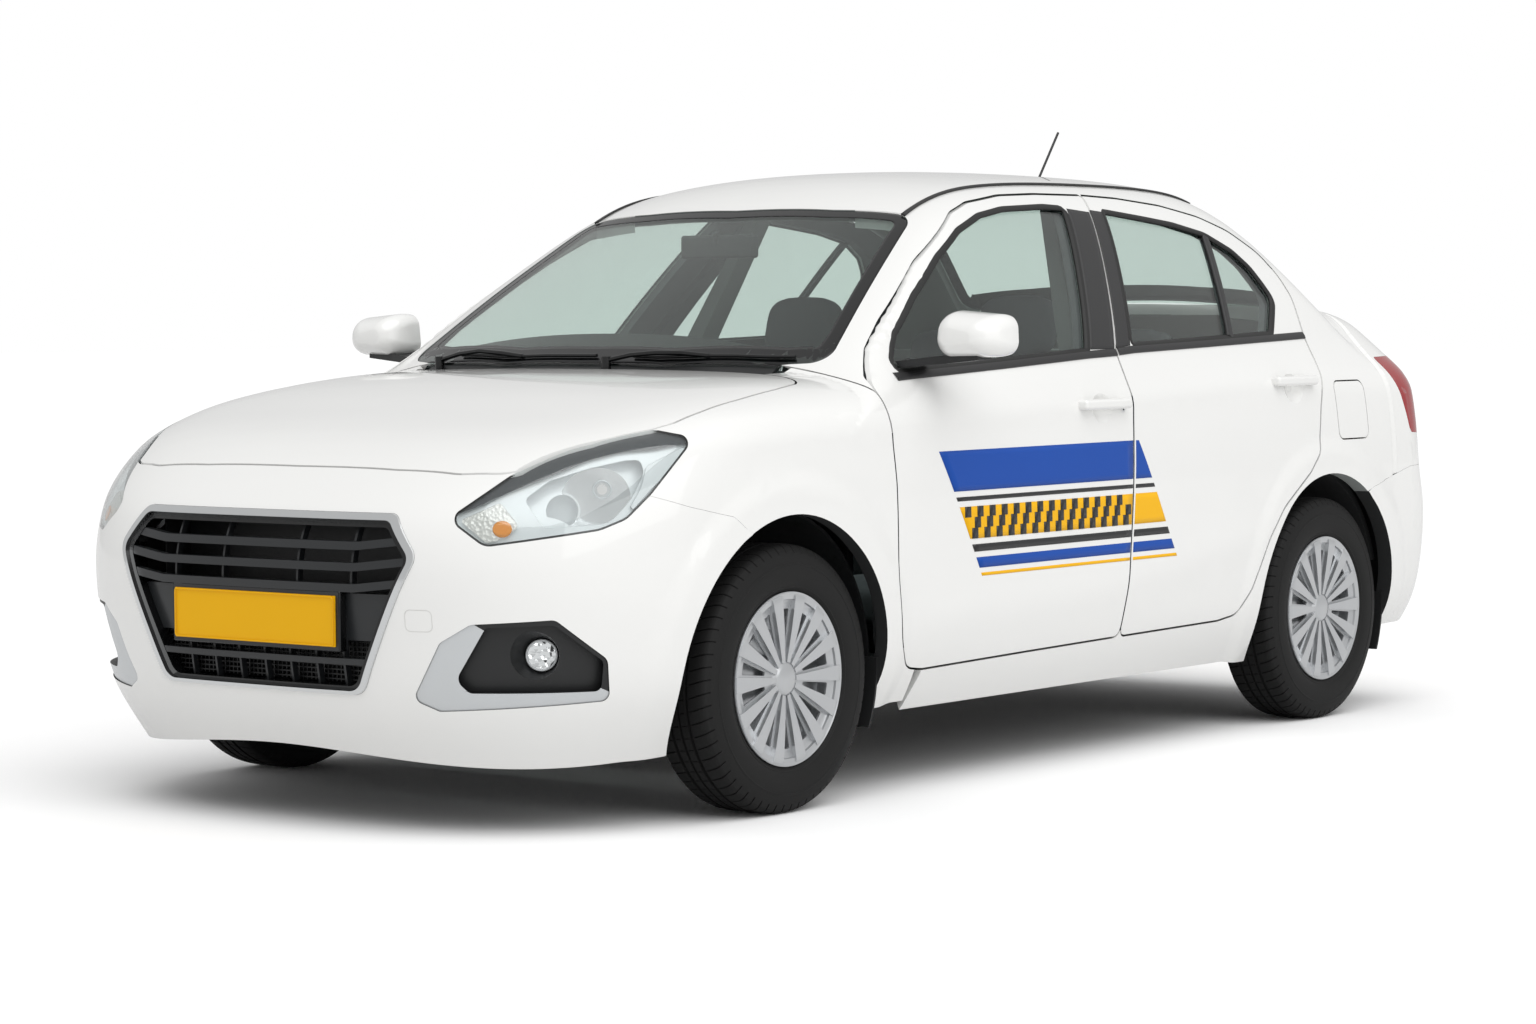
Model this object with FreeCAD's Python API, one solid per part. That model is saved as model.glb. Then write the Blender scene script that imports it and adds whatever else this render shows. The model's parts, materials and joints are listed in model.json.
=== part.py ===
"""Small four-door saloon built as separate named pieces, in millimetres.

Frame: +X to the nose, +Y to the car's left, +Z up; the origin lies on the ground,
on the centre line, midway along the overall length.
"""
import FreeCAD, Part
import math
import os

V = FreeCAD.Vector
os.makedirs("parts", exist_ok=True)

# Driving dimensions: wheels and axles
WHEELBASE = 2450.0
AXLE_FRONT_X = 1132.5
AXLE_REAR_X = AXLE_FRONT_X - WHEELBASE
TRACK_HALF = 765.0
TYRE_RADIUS = 308.0
TYRE_HALF_WIDTH = 88.0
RIM_RADIUS = 190.0
RIM_FLANGE_RADIUS = 199.0
KINGPIN_Y = 742.0
COVER_RADIUS = 197.0
SPOKES = 14
ARCH_RADIUS = 366.0
ARCH_CENTRE_Z = 318.0
ARCH_SHIFT_X = 6.0

# Driving dimensions: stations of the body's form, each a pair of place and size
SIDE_STATIONS = (
    (180, 780), (240, 812), (300, 838), (400, 858), (520, 867), (640, 867.5), (760, 863), (860, 853),
    (940, 838), (1010, 815), (1100, 776), (1200, 723), (1300, 664), (1400, 600), (1520, 520))
NOSE_STATIONS = (
    (180, 1915), (260, 1955), (330, 1975), (420, 1987), (520, 1996), (580, 1996), (640, 1985), (720, 1950),
    (780, 1900), (840, 1845), (920, 1800), (1020, 1770), (1200, 1740), (1600, 1700))
TAIL_STATIONS = (
    (180, -1930), (260, -1962), (330, -1980), (420, -1993), (520, -1997), (600, -1990), (660, -1974),
    (760, -1964), (900, -1958), (980, -1952), (1050, -1940), (1130, -1915), (1600, -1850))
HOOD_STATIONS = (
    (850, 1008), (1000, 1002), (1180, 985), (1350, 957), (1500, 922), (1650, 886), (1780, 845), (1860, 808),
    (1950, 750))
DECK_STATIONS = (
    (-1500, 1158), (-1600, 1156), (-1700, 1150), (-1800, 1135), (-1880, 1106), (-1940, 1062), (-2020, 960))
ROOF_STATIONS = (
    (1000, 935), (890, 1005), (700, 1127), (500, 1252), (300, 1368), (200, 1422), (100, 1462), (0, 1487),
    (-150, 1505), (-350, 1514), (-560, 1516), (-800, 1514), (-1000, 1505), (-1150, 1483), (-1250, 1450),
    (-1350, 1393), (-1500, 1274), (-1650, 1150), (-1750, 1065), (-1850, 980))
WRAP_FRONT_X = AXLE_FRONT_X
WRAP_FRONT_POWER = 3.1
WRAP_REAR_X = -1450.0
WRAP_REAR_POWER = 8.0
SHOULDER_BASE_Z = 500.0
SHOULDER_POWER = 12.0
CANT_BASE_Z = 850.0
CANT_POWER = 16.0
ROOF_CROWN = 58.0
ROOF_CROWN_AT = 600.0
HOOD_CROWN = 16.0
DECK_CROWN = 8.0
CROWN_AT = 700.0
CROWN_POWER = 2.3
CABIN_MID_X = -250.0
CABIN_TAPER_FRONT = 8.3e-8
CABIN_TAPER_REAR = 3.65e-8
TAPER_LOW_Z = 900.0
TAPER_HIGH_Z = 1080.0
UPPER_FRONT_X = 900.0
UPPER_REAR_X = -1800.0
BLEND = 0.003
REACH_FINE = 3.0e-6
FLARE_RADIUS = 444.0
FLARE_SOFT = 60.0
FLARE_PROUD = 8.0
SHOULDER_LINE_PROUD = 4.0
SHOULDER_LINE_SOFT = 34.0
SHOULDER_LINE = ((-1900, 968), (-1150, 948), (-150, 905), (900, 868))
DOOR_LINE_PROUD = 5.0
DOOR_LINE_SOFT = 60.0
DOOR_LINE = ((-1000, 560), (-400, 460), (300, 415), (800, 400))

# Driving dimensions: panels, gaps and thicknesses
GAP = 5.4
SWING_ROOM = 3.0
TIGHT_GAP = 2.0
SEAT_GAP = 0.3
SKIN = 14.0
DOOR_DEPTH = 100.0
FRAME_DEPTH = 44.0
SIDE_WALL = 46.0
WING_WALL = 40.0
BUMPER_WALL = 46.0
HOOD_WALL = 26.0
ROOF_WALL = 30.0
LID_WALL = 30.0
GLASS = 5.0
GLASS_SUNK = 9.0
SCREEN_SUNK = 2.0
BELT_SPLIT_Z = 985.0
DOOR_INSET = 20.0
FRAME_INSET = 10.0

# Driving dimensions: floor and carriers
FLOOR_X = (-880.0, 704.0)
FLOOR_Z = (240.0, 262.0)
FLOOR_HALF = 786.0
SEAT_PAN_X = (-1060.0, -520.0)
SEAT_PAN_TOP = 366.0
SEAT_PAN_THICK = 16.0
BOOT_FLOOR_Z = (380.0, 404.0)
RAIL_Y = (374.0, 426.0)
RAIL_Z = (420.0, 520.0)
TOWER_WALL_Y = (413.0, 439.7)
TOWER_Z = (806.0, 826.0)
CROSS_Z = (196.0, 250.0)
CROSS_HALF = 430.0
HUB_FACE_Y = 794.7
BRAKE_RADIUS = 104.0
COLUMN_CENTRE = (300.0, -360.0, 880.0)
COLUMN_TILT = 24.0
COLUMN_END = 190.0
ARM_TOP_Z = 190.0
LINER_FRONT_Y = 765.0
COWL_HALF = 556.0
TOE_X = 590.0
TOE_HALF = 760.0
BACK_SHIFT = 60.0
STRUT_Y = 590.0
BLADE_RADIUS = 4.5
WIPERS = ((-505.0, 40.0), (96.0, 590.0))
AERIAL_X = -1130.0
AERIAL_BACK = 133.0
AERIAL_RISE = 164.0
SEAT_TILT = -16.0
BENCH_ROOM = 6.0
SCOOP_BALL = 98.0
SCOOP_DEEP = 11.0

# Driving dimensions: joint axes
DOOR_FRONT_HINGE = (765.0, 874.0)
DOOR_REAR_HINGE = (-255.0, 874.0)
HOOD_HINGE = (858.0, 996.0)
LID_HINGE = (-1652.0, 1142.0)

# Outlines of the sides, each corner as place along X, height and corner radius
FRONT_DOOR = (
    (757, 950, 30), (745, 860, 120), (738, 735, 200), (738, 500, 250), (715, 361, 120), (668, 296, 60),
    (600, 288, 60), (157, 297, 500), (-262, 304, 26), (-270, 440, 300), (-304, 784, 300), (-320, 900, 200),
    (-302, 1035, 90), (-542, 1444, 8), (-316, 1443, 300), (-147, 1436, 300), (10, 1415, 160),
    (101, 1388, 160), (339, 1264, 400), (568, 1118, 300), (664, 1050, 120), (742, 984, 30))
REAR_DOOR = (
    (-262, 304, 26), (-270, 440, 300), (-304, 784, 300), (-321, 900, 200), (-304, 1035, 90), (-546, 1444, 8),
    (-706, 1439, 300), (-908, 1423, 300), (-1080, 1395, 300), (-1203, 1358, 200), (-1310, 1298, 120),
    (-1358, 1236, 100), (-1378, 1172, 90), (-1362, 1110, 90), (-1340, 1000, 120), (-1284, 865, 150),
    (-1252, 745, 60), (-1190, 690, 50), (-1042, 600, 200), (-966, 524, 150), (-891, 386, 120),
    (-840, 322, 60), (-746, 311, 60))
FRONT_WINDOW = (
    (648, 998, 14), (191, 1019, 600), (-176, 1038, 10), (-399, 1404, 10), (-309, 1407, 300),
    (-111, 1397, 300), (10, 1378, 150), (132, 1339, 200), (270, 1271, 300), (432, 1174, 300), (560, 1086, 90))
REAR_WINDOW = (
    (-394, 1050, 10), (-1163, 1073, 24), (-1257, 1165, 40), (-1238, 1205, 40), (-1210, 1253, 80),
    (-1156, 1298, 80), (-1055, 1342, 150), (-908, 1368, 300), (-769, 1382, 300), (-584, 1399, 10))
WINDOW_BAR = ((-921, 1060), (-1056, 1350))
WINDOW_BAR_WIDTH = 22.0
WING_REAR = (
    (1740, 150, 0), (1740, 690, 0), (1585, 743, 40), (1585, 1100, 0), (874, 1100, 0), (790, 1004, 60),
    (757, 950, 30), (745, 860, 120), (738, 735, 200), (738, 500, 250), (715, 361, 120), (668, 296, 60),
    (600, 288, 10), (640, 150, 0))
BUMPER_SEAM = ((1301, 647), (1359, 688), (1485, 715), (1585, 743))
REAR_SEAM = ((-1500, 622), (-1545, 637), (-1773, 687), (-2100, 694))
TAIL_LAMP = ((-1712, 1000, 8), (-1722, 972, 10), (-1786, 797, 12), (-1800, 784, 14), (-2100, 770, 0),
             (-2100, 1006, 0))
FUEL_FLAP = ((-1372, 938, 24), (-1540, 938, 24), (-1540, 776, 24), (-1372, 776, 24))

# Outlines seen from above, each corner as place along X, place across and corner radius
HOOD_HALF = (
    (1836, 0), (1833, 300), (1820, 470), (1782, 590), (1693, 651), (1605, 691), (1496, 746), (1440, 762),
    (1351, 764), (1204, 755), (1033, 734), (915, 712), (893, 640), (905, 480), (926, 240), (932, 0))
SCREEN_HALF = ((868, 0), (862, 250), (798, 562), (748, 672), (195, 528), (225, 300), (240, 0))
SCREEN_RADIUS = 60.0
REAR_SCREEN_HALF = ((-1215, 0), (-1208, 300), (-1190, 486), (-1580, 560), (-1612, 520), (-1626, 300), (-1630, 0))
ROOF_HALF_WIDTH = 500.0
LID_HALF_WIDTH = 556.0
LID_FRONT_X = -1642.0
LID_BOTTOM_Z = 660.0
CORNER_X = -1700.0

# Outlines of the nose, seen along a line turned outward by this angle
LAMP_TURN = 41.0
LAMP_OUTLINE = (
    (-865, 699, 22), (-785, 640, 40), (-536, 672, 90), (-478, 694, 60), (-424, 745, 120), (-322, 866, 20),
    (-414, 884, 60), (-533, 866, 160), (-621, 835, 160), (-725, 792, 120))
FOG_OUTLINE = (
    (-944, 305, 20), (-884, 432, 20), (-817, 473, 30), (-634, 482, 26), (-521, 392, 26), (-517, 300, 20),
    (-885, 280, 20))
FOG_LAMP_RADIUS = 37.0
FOG_FACE = 26.0
FOG_BACK = 96.0
LAMP_SEAL = 4.0
BEZEL_OUTLINE = (
    (-930, 676, 0), (-807, 722, 60), (-732, 755, 200), (-644, 788, 200), (-560, 821, 200), (-489, 838, 200),
    (-418, 842, 100), (-300, 861, 0), (-260, 600, 0), (-930, 600, 0))
BOWL_OUTLINE = (
    (-644, 778, 30), (-560, 803, 200), (-480, 819, 60), (-446, 820, 16), (-437, 792, 40), (-467, 735, 120),
    (-515, 685, 50), (-657, 677, 16), (-699, 739, 14))
AMBER_OUTLINE = ((-838, 695, 6), (-750, 733, 10), (-708, 681, 12), (-759, 652, 20), (-781, 648, 10))
FIN_OUTLINE = ((-432, 806, 8), (-340, 850, 6), (-356, 820, 20), (-428, 752, 60), (-486, 690, 8), (-445, 760, 80))
BOWL_CENTRE = (-530.0, 758.0, 1767.0)
BOWL_RADIUS = 95.0
TUBE_CENTRE = (-617.0, 712.0, 1700.0)
TUBE_RADIUS = 40.0
FOG_HOLE = (
    (-784, 466, 16), (-850, 350, 24), (-820, 322, 20), (-536, 322, 16), (-530, 388, 18), (-636, 470, 24))
FOG_MOUTH = (-692.0, 401.0, 1835.0)
FOG_MOUTH_RADIUS = 68.0
FOG_THROAT = (-664.0, 400.0, 1748.0)
MIRROR_SECTIONS = (
    (500, 868, 1050, 1028, 1142, 34), (530, 866, 1052, 1025, 1144, 36), (570, 868, 1046, 1027, 1139, 38),
    (602, 880, 1028, 1038, 1126, 34), (622, 905, 992, 1058, 1102, 18))
MIRROR_RIM = 7.0
MIRROR_GLASS_DEEP = 6.0
SAIL = ((664, 996, 8), (520, 1000, 6), (520, 1024, 6), (556, 1030, 20), (592, 1080, 8))
SAIL_THICK = 7.0
GRILLE_OUTLINE = (
    (-388, 709, 34), (388, 709, 34), (462, 618, 34), (310, 310, 44), (-310, 310, 44), (-462, 618, 34))
GRILLE_MID = (
    (-378, 694, 28), (378, 694, 28), (446, 614, 28), (298, 318, 40), (-298, 318, 40), (-446, 614, 28))
GRILLE_INNER = (
    (-370, 678, 22), (370, 678, 22), (429, 609, 22), (285, 328, 34), (-285, 328, 34), (-429, 609, 22))
GRILLE_PROUD = 5.0
GRILLE_FLAT = 7.0
GRILLE_DEEP = 44.0
SLAT_HEIGHTS = (637.0, 591.0, 545.0)
SLAT_HALF = 9.0
SLAT_KINK_Y = 300.0
SLAT_KINK_RISE = 14.0
SLAT_FACE = 8.0
SLAT_BACK = 28.0
RIB_PLACES = (-275.0, -117.0, 117.0, 275.0)
RIB_HALF = 3.0
RIB_FACE = 20.0
BAND_TOP = 532.0
BAND_LOW = 428.0
LOWER_SLAT_Z = 382.0
LOWER_SLAT_HALF = 7.0
LOWER_BARS = 7
LOWER_BAR_PITCH = 80.0
PLATE_X = 1988.5
PLATE_THICK = 3.5
PLATE_HALF = 250.0
PLATE_Z = (415.0, 527.0)
PLINTH_EDGE = 8.0
PLINTH_DEEP = 30.0
BROW_FACE = 9.0
BEZEL_FACE = 17.0
BEZEL_BACK = 46.0


class Spline:
    """Natural cubic curve through stations, carried on straight beyond both ends."""

    def __init__(self, stations):
        pairs = sorted(stations)
        self.x = [p[0] for p in pairs]
        self.y = [p[1] for p in pairs]
        n = len(pairs)
        a = [0.0] * n
        b = [1.0] * n
        c = [0.0] * n
        d = [0.0] * n
        for i in range(1, n - 1):
            before = self.x[i] - self.x[i - 1]
            after = self.x[i + 1] - self.x[i]
            a[i] = before / 6.0
            b[i] = (before + after) / 3.0
            c[i] = after / 6.0
            d[i] = (self.y[i + 1] - self.y[i]) / after - (self.y[i] - self.y[i - 1]) / before
        for i in range(1, n):
            w = a[i] / b[i - 1]
            b[i] -= w * c[i - 1]
            d[i] -= w * d[i - 1]
        m = [0.0] * n
        for i in range(n - 2, 0, -1):
            m[i] = (d[i] - c[i] * m[i + 1]) / b[i]
        self.m = m

    def slope(self, i, t):
        h = self.x[i + 1] - self.x[i]
        a = (self.x[i + 1] - t) / h
        b = (t - self.x[i]) / h
        rise = (self.y[i + 1] - self.y[i]) / h
        return rise - (3 * a * a - 1) / 6 * h * self.m[i] + (3 * b * b - 1) / 6 * h * self.m[i + 1]

    def __call__(self, t):
        x = self.x
        last = len(x) - 1
        if t <= x[0]:
            return self.y[0] + self.slope(0, x[0]) * (t - x[0])
        if t >= x[last]:
            return self.y[last] + self.slope(last - 1, x[last]) * (t - x[last])
        i = 0
        while t > x[i + 1]:
            i += 1
        h = x[i + 1] - x[i]
        a = (x[i + 1] - t) / h
        b = (t - x[i]) / h
        bend = ((a ** 3 - a) * self.m[i] + (b ** 3 - b) * self.m[i + 1]) * h * h / 6.0
        return a * self.y[i] + b * self.y[i + 1] + bend


side_profile = Spline(SIDE_STATIONS)
nose_profile = Spline(NOSE_STATIONS)
tail_profile = Spline(TAIL_STATIONS)
hood_profile = Spline(HOOD_STATIONS)
deck_profile = Spline(DECK_STATIONS)
roof_profile = Spline(ROOF_STATIONS)
shoulder_line = Spline(SHOULDER_LINE)
door_line = Spline(DOOR_LINE)


def ease(t):
    """Soft step from nought to one."""
    t = min(1.0, max(0.0, t))
    return t * t * (3.0 - 2.0 * t)


def flare(x, z):
    """Soft proud band round both wheel arches."""
    best = 0.0
    for axle in (AXLE_FRONT_X + ARCH_SHIFT_X, AXLE_REAR_X + ARCH_SHIFT_X):
        r = math.hypot(x - axle, z - ARCH_CENTRE_Z)
        best = max(best, ease((FLARE_RADIUS - r) / FLARE_SOFT + 0.5))
    return FLARE_PROUD * best


def crease(x, z):
    """Soft line at handle height and a rising line low on the doors."""
    up = (z - shoulder_line(x)) / SHOULDER_LINE_SOFT
    low = (z - door_line(x)) / DOOR_LINE_SOFT
    share = ease((x + 1150.0) / 300.0) * ease((820.0 - x) / 300.0)
    return SHOULDER_LINE_PROUD * math.exp(-up * up) + share * DOOR_LINE_PROUD * math.exp(-low * low)


def half_width(x, z):
    """Half width of the body at a place along it and a height."""
    base = side_profile(z) + flare(x, z) + crease(x, z)
    taper = CABIN_TAPER_FRONT if x > CABIN_MID_X else CABIN_TAPER_REAR
    share = ease((z - TAPER_LOW_Z) / (TAPER_HIGH_Z - TAPER_LOW_Z))
    return base * (1.0 - share * taper * (x - CABIN_MID_X) ** 2)


def crown(y, depth, at):
    return depth * (abs(y) / at) ** CROWN_POWER


def hood_height(x, y):
    return hood_profile(x) - crown(y, HOOD_CROWN, CROWN_AT)


def deck_height(x, y):
    return deck_profile(x) - crown(y, DECK_CROWN, CROWN_AT)


def roof_height(x, y):
    return roof_profile(x) - crown(y, ROOF_CROWN, ROOF_CROWN_AT)


def rounded(u, v, power):
    return (u ** power + v ** power) ** (1.0 / power)


def lower_form(x, y, z):
    """Form of wings, doors, nose and tail up to bonnet and deck."""
    u = abs(y) / half_width(x, z)
    if x > WRAP_FRONT_X:
        s = (x - WRAP_FRONT_X) / (nose_profile(z) - WRAP_FRONT_X)
        u = rounded(u, s, WRAP_FRONT_POWER)
    elif x < WRAP_REAR_X:
        s = (x - WRAP_REAR_X) / (tail_profile(z) - WRAP_REAR_X)
        u = rounded(u, s, WRAP_REAR_POWER)
    top = hood_height(x, y) if x > 0 else deck_height(x, y)
    v = max(0.0, (z - SHOULDER_BASE_Z) / max(50.0, top - SHOULDER_BASE_Z))
    return rounded(u, v, SHOULDER_POWER) - 1.0


def upper_form(x, y, z):
    """Form of the cabin from the doors up to screens and roof."""
    if x > UPPER_FRONT_X or x < UPPER_REAR_X:
        return 9.0
    u = abs(y) / half_width(x, z)
    v = max(0.0, (z - CANT_BASE_Z) / max(20.0, roof_height(x, y) - CANT_BASE_Z))
    return rounded(u, v, CANT_POWER) - 1.0


def body_form(x, y, z):
    """Below nought inside the painted body, nought on its skin."""
    a = lower_form(x, y, z)
    b = upper_form(x, y, z)
    h = max(0.0, BLEND - abs(a - b)) / BLEND
    return min(a, b) - h * h * BLEND / 4.0


def reach(origin, way, far):
    """Distance from an inner point to the skin, by a guarded secant."""
    low = 0.0
    high = far
    f_low = body_form(*origin)
    if f_low >= 0.0:
        return 0.0
    f_high = min(1.0, body_form(*[origin[k] + way[k] * far for k in range(3)]))
    side = 0
    for _ in range(40):
        mid = (low * f_high - high * f_low) / (f_high - f_low)
        f_mid = min(1.0, body_form(*[origin[k] + way[k] * mid for k in range(3)]))
        if abs(f_mid) < REACH_FINE:
            return mid
        if f_mid < 0:
            low, f_low = mid, f_mid
            f_high = f_high / 2.0 if side == -1 else f_high
            side = -1
        else:
            high, f_high = mid, f_mid
            f_low = f_low / 2.0 if side == 1 else f_low
            side = 1
    return (low + high) / 2.0


def span(a, b, n):
    """Evenly spaced values from a to b, both included."""
    return [a + (b - a) * i / (n - 1) for i in range(n)]


def skin_points(origin, way, far, near, deep):
    """Two points at two depths below the skin along one line of sight."""
    r = reach(origin, way, far)
    return tuple(V(*[origin[k] + way[k] * (r - d) for k in range(3)]) for d in (near, deep))


def section_way(angle):
    return (0.0, math.cos(angle), math.sin(angle))


SECTION_Y = 450.0
SECTION_Z = 750.0


def section_points(x, angle, near, deep):
    """Skin seen from a line running along the car inside its left half."""
    return skin_points((x, SECTION_Y, SECTION_Z), section_way(angle), 950.0, near, deep)


def end_points(origin, turn, lift, near, deep):
    """Skin seen from a point inside the nose or the tail."""
    way = (math.cos(lift) * math.cos(turn), math.cos(lift) * math.sin(turn), math.sin(lift))
    return skin_points(origin, way, 1300.0, near, deep)


NOSE_ORIGIN = (1150.0, 0.0, 500.0)
TAIL_ORIGIN = (-1400.0, 0.0, 480.0)


def up_points(x, y, low, near, deep):
    """Skin straight above a place, lowered by two depths."""
    return skin_points((x, y, low), (0.0, 0.0, 1.0), 900.0, near, deep)


def side_y(x, z):
    """Distance of the door's skin from the centre line, open beyond the cant rail."""
    y = half_width(x, z)
    full = y
    for _ in range(4):
        v = (z - CANT_BASE_Z) / max(20.0, roof_height(x, y) - CANT_BASE_Z)
        v = min(0.985, max(0.0, v))
        y = full * (1.0 - v ** CANT_POWER) ** (1.0 / CANT_POWER)
    return y


def face_through(grid):
    surface = Part.BSplineSurface()
    surface.interpolate(grid)
    return surface.toShape()


def border(face):
    s = face.Surface
    u0, u1, v0, v1 = s.bounds()
    return [s.uIso(u0).toShape(), s.uIso(u1).toShape(), s.vIso(v0).toShape(), s.vIso(v1).toShape()]


def slab(outer, inner):
    """Closed solid between two grids of points."""
    a = face_through(outer)
    b = face_through(inner)
    walls = [Part.makeRuledSurface(p, q) for p, q in zip(border(a), border(b))]
    skin = Part.makeCompound([a, b] + walls)
    skin.sewShape()
    solid = Part.Solid(skin.Shells[0])
    if solid.Volume < 0:
        solid.reverse()
    return solid


def grid_slab(points, us, vs, near, deep):
    """Slab between two depths of one family of skin points."""
    both = [[points(u, v, near, deep) for v in vs] for u in us]
    return slab([[p[0] for p in row] for row in both], [[p[1] for p in row] for row in both])


def ring_corners(points, grow):
    """Corners of a closed outline moved outward by a distance, with their radii."""
    n = len(points)
    area = sum(points[i][0] * points[(i + 1) % n][1] - points[(i + 1) % n][0] * points[i][1] for i in range(n))
    turn = 1.0 if area > 0 else -1.0
    moved = []
    for i in range(n):
        px, pz = points[i - 1][0], points[i - 1][1]
        cx, cz, radius = points[i]
        nx, nz = points[(i + 1) % n][0], points[(i + 1) % n][1]
        ax, az = cx - px, cz - pz
        bx, bz = nx - cx, nz - cz
        la = math.hypot(ax, az)
        lb = math.hypot(bx, bz)
        ax, az, bx, bz = ax / la, az / la, bx / lb, bz / lb
        na = (az * turn, -ax * turn)
        nb = (bz * turn, -bx * turn)
        scale = grow / (1.0 + na[0] * nb[0] + na[1] * nb[1])
        bend = (ax * bz - az * bx) * turn
        new = radius + grow if bend > 0 else radius - grow
        moved.append((cx + (na[0] + nb[0]) * scale, cz + (na[1] + nb[1]) * scale, max(0.0, new) if radius else 0.0))
    return moved


def outline_edges(corners, place):
    """Straight lines and tangent arcs through corners given in a plane."""
    n = len(corners)
    starts = []
    ends = []
    mids = []
    for i in range(n):
        px, pz = corners[i - 1][0], corners[i - 1][1]
        cx, cz, radius = corners[i]
        nx, nz = corners[(i + 1) % n][0], corners[(i + 1) % n][1]
        la = math.hypot(px - cx, pz - cz)
        lb = math.hypot(nx - cx, nz - cz)
        ua = ((px - cx) / la, (pz - cz) / la)
        ub = ((nx - cx) / lb, (nz - cz) / lb)
        cosine = max(-1.0, min(1.0, ua[0] * ub[0] + ua[1] * ub[1]))
        half = math.acos(cosine) / 2.0
        if radius <= 0.01 or half > 1.5690:
            starts.append((cx, cz))
            ends.append((cx, cz))
            mids.append(None)
            continue
        cut = min(radius / math.tan(half), 0.46 * la, 0.46 * lb)
        radius = cut * math.tan(half)
        bx, bz = ua[0] + ub[0], ua[1] + ub[1]
        lbis = math.hypot(bx, bz)
        reach_mid = radius / math.sin(half) - radius
        starts.append((cx + ua[0] * cut, cz + ua[1] * cut))
        ends.append((cx + ub[0] * cut, cz + ub[1] * cut))
        mids.append((cx + bx / lbis * reach_mid, cz + bz / lbis * reach_mid))
    edges = []
    for i in range(n):
        if mids[i] is not None:
            edges.append(Part.Arc(place(*starts[i]), place(*mids[i]), place(*ends[i])).toShape())
        a = place(*ends[i])
        b = place(*starts[(i + 1) % n])
        if (a - b).Length > 0.01:
            edges.append(Part.makeLine(a, b))
    return edges


def prism(points, place, way, grow=0.0):
    """Straight bar over a closed outline."""
    corners = ring_corners(points, grow)
    wire = Part.Wire(outline_edges(corners, place))
    return Part.Face(wire).extrude(way)


def side_prism(points, grow=0.0, near=300.0, far=1000.0):
    """Bar across the car's left half over an outline in X and Z."""
    return prism(points, lambda x, z: V(x, near, z), V(0, far - near, 0), grow)


def plan_prism(points, low, high, grow=0.0):
    """Upright bar over an outline in X and Y."""
    return prism(points, lambda x, y: V(x, y, low), V(0, 0, high - low), grow)


def nose_prism(points, near, far, grow=0.0):
    """Bar along the car over an outline in Y and Z."""
    return prism(points, lambda y, z: V(near, y, z), V(far - near, 0, 0), grow)


LAMP_SIN = math.sin(math.radians(LAMP_TURN))
LAMP_COS = math.cos(math.radians(LAMP_TURN))


def turned(p, z, along):
    """Point given across and along the line that the lamps face."""
    return V(along * LAMP_COS - p * LAMP_SIN, along * LAMP_SIN + p * LAMP_COS, z)


def turned_prism(points, near, far, grow=0.0):
    """Bar along the line that the lamps face."""
    way = V(LAMP_COS, LAMP_SIN, 0) * (far - near)
    return prism(points, lambda p, z: turned(p, z, near), way, grow)


def mirrored_outline(half, radius):
    """Closed outline from its left half, first and last points on the centre line."""
    left = [(x, y, radius) for x, y in half]
    right = [(x, -y, radius) for x, y in half[-2:0:-1]]
    return left + right


def box(x0, x1, y0, y1, z0, z1):
    return Part.makeBox(x1 - x0, y1 - y0, z1 - z0, V(x0, y0, z0))


def soft_box(x0, x1, y0, y1, z0, z1, r):
    """Box with its edges along X and then along Y rounded where they allow it."""
    b = box(x0, x1, y0, y1, z0, z1)
    return b.makeFillet(r, b.Edges)


def hull(sections):
    """Ruled solid through closed polygons with the same number of corners."""
    wires = [Part.makePolygon([V(*p) for p in s] + [V(*s[0])]) for s in sections]
    return Part.makeLoft(wires, True, True)


def tube(path, radius, bend=80.0):
    """Round bar or pipe along a line of points, its corners eased to arcs."""
    pts = [V(*p) for p in path]
    edges = []
    start = pts[0]
    for i in range(1, len(pts) - 1):
        a = pts[i - 1] - pts[i]
        b = pts[i + 1] - pts[i]
        la, lb = a.Length, b.Length
        a, b = a * (1.0 / la), b * (1.0 / lb)
        half = a.getAngle(b) / 2.0
        cut = min(bend / math.tan(half), 0.45 * la, 0.45 * lb)
        round_by = cut * math.tan(half)
        middle = (a + b) * (1.0 / (a + b).Length)
        first = pts[i] + a * cut
        last = pts[i] + b * cut
        edges.append(Part.makeLine(start, first))
        edges.append(Part.Arc(first, pts[i] + middle * (round_by / math.sin(half) - round_by), last).toShape())
        start = last
    edges.append(Part.makeLine(start, pts[-1]))
    profile = Part.Wire(Part.makeCircle(radius, pts[0], pts[1] - pts[0]))
    return Part.Wire(edges).makePipeShell([profile], True, False)


def mirror(shape):
    return shape.mirror(V(0, 0, 0), V(0, 1, 0))


def pair(shapes):
    both = []
    for s in shapes:
        both += [s, mirror(s)]
    return both


def solids(shape):
    """Solids of a result, left without slivers."""
    return [s for s in shape.Solids if abs(s.Volume) > 400.0]


PIECES = {}


def keep(name, shapes):
    found = []
    for s in shapes:
        found += solids(s)
    shape = found[0] if len(found) == 1 else Part.makeCompound(found)
    PIECES[name] = shape
    shape.exportStep("parts/" + name + ".step")


def arch_cut(axle_x, grow=0.0, near=300.0, far=1000.0):
    return Part.makeCylinder(ARCH_RADIUS + grow, far - near, V(axle_x + ARCH_SHIFT_X, near, ARCH_CENTRE_Z), V(0, 1, 0))


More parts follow.
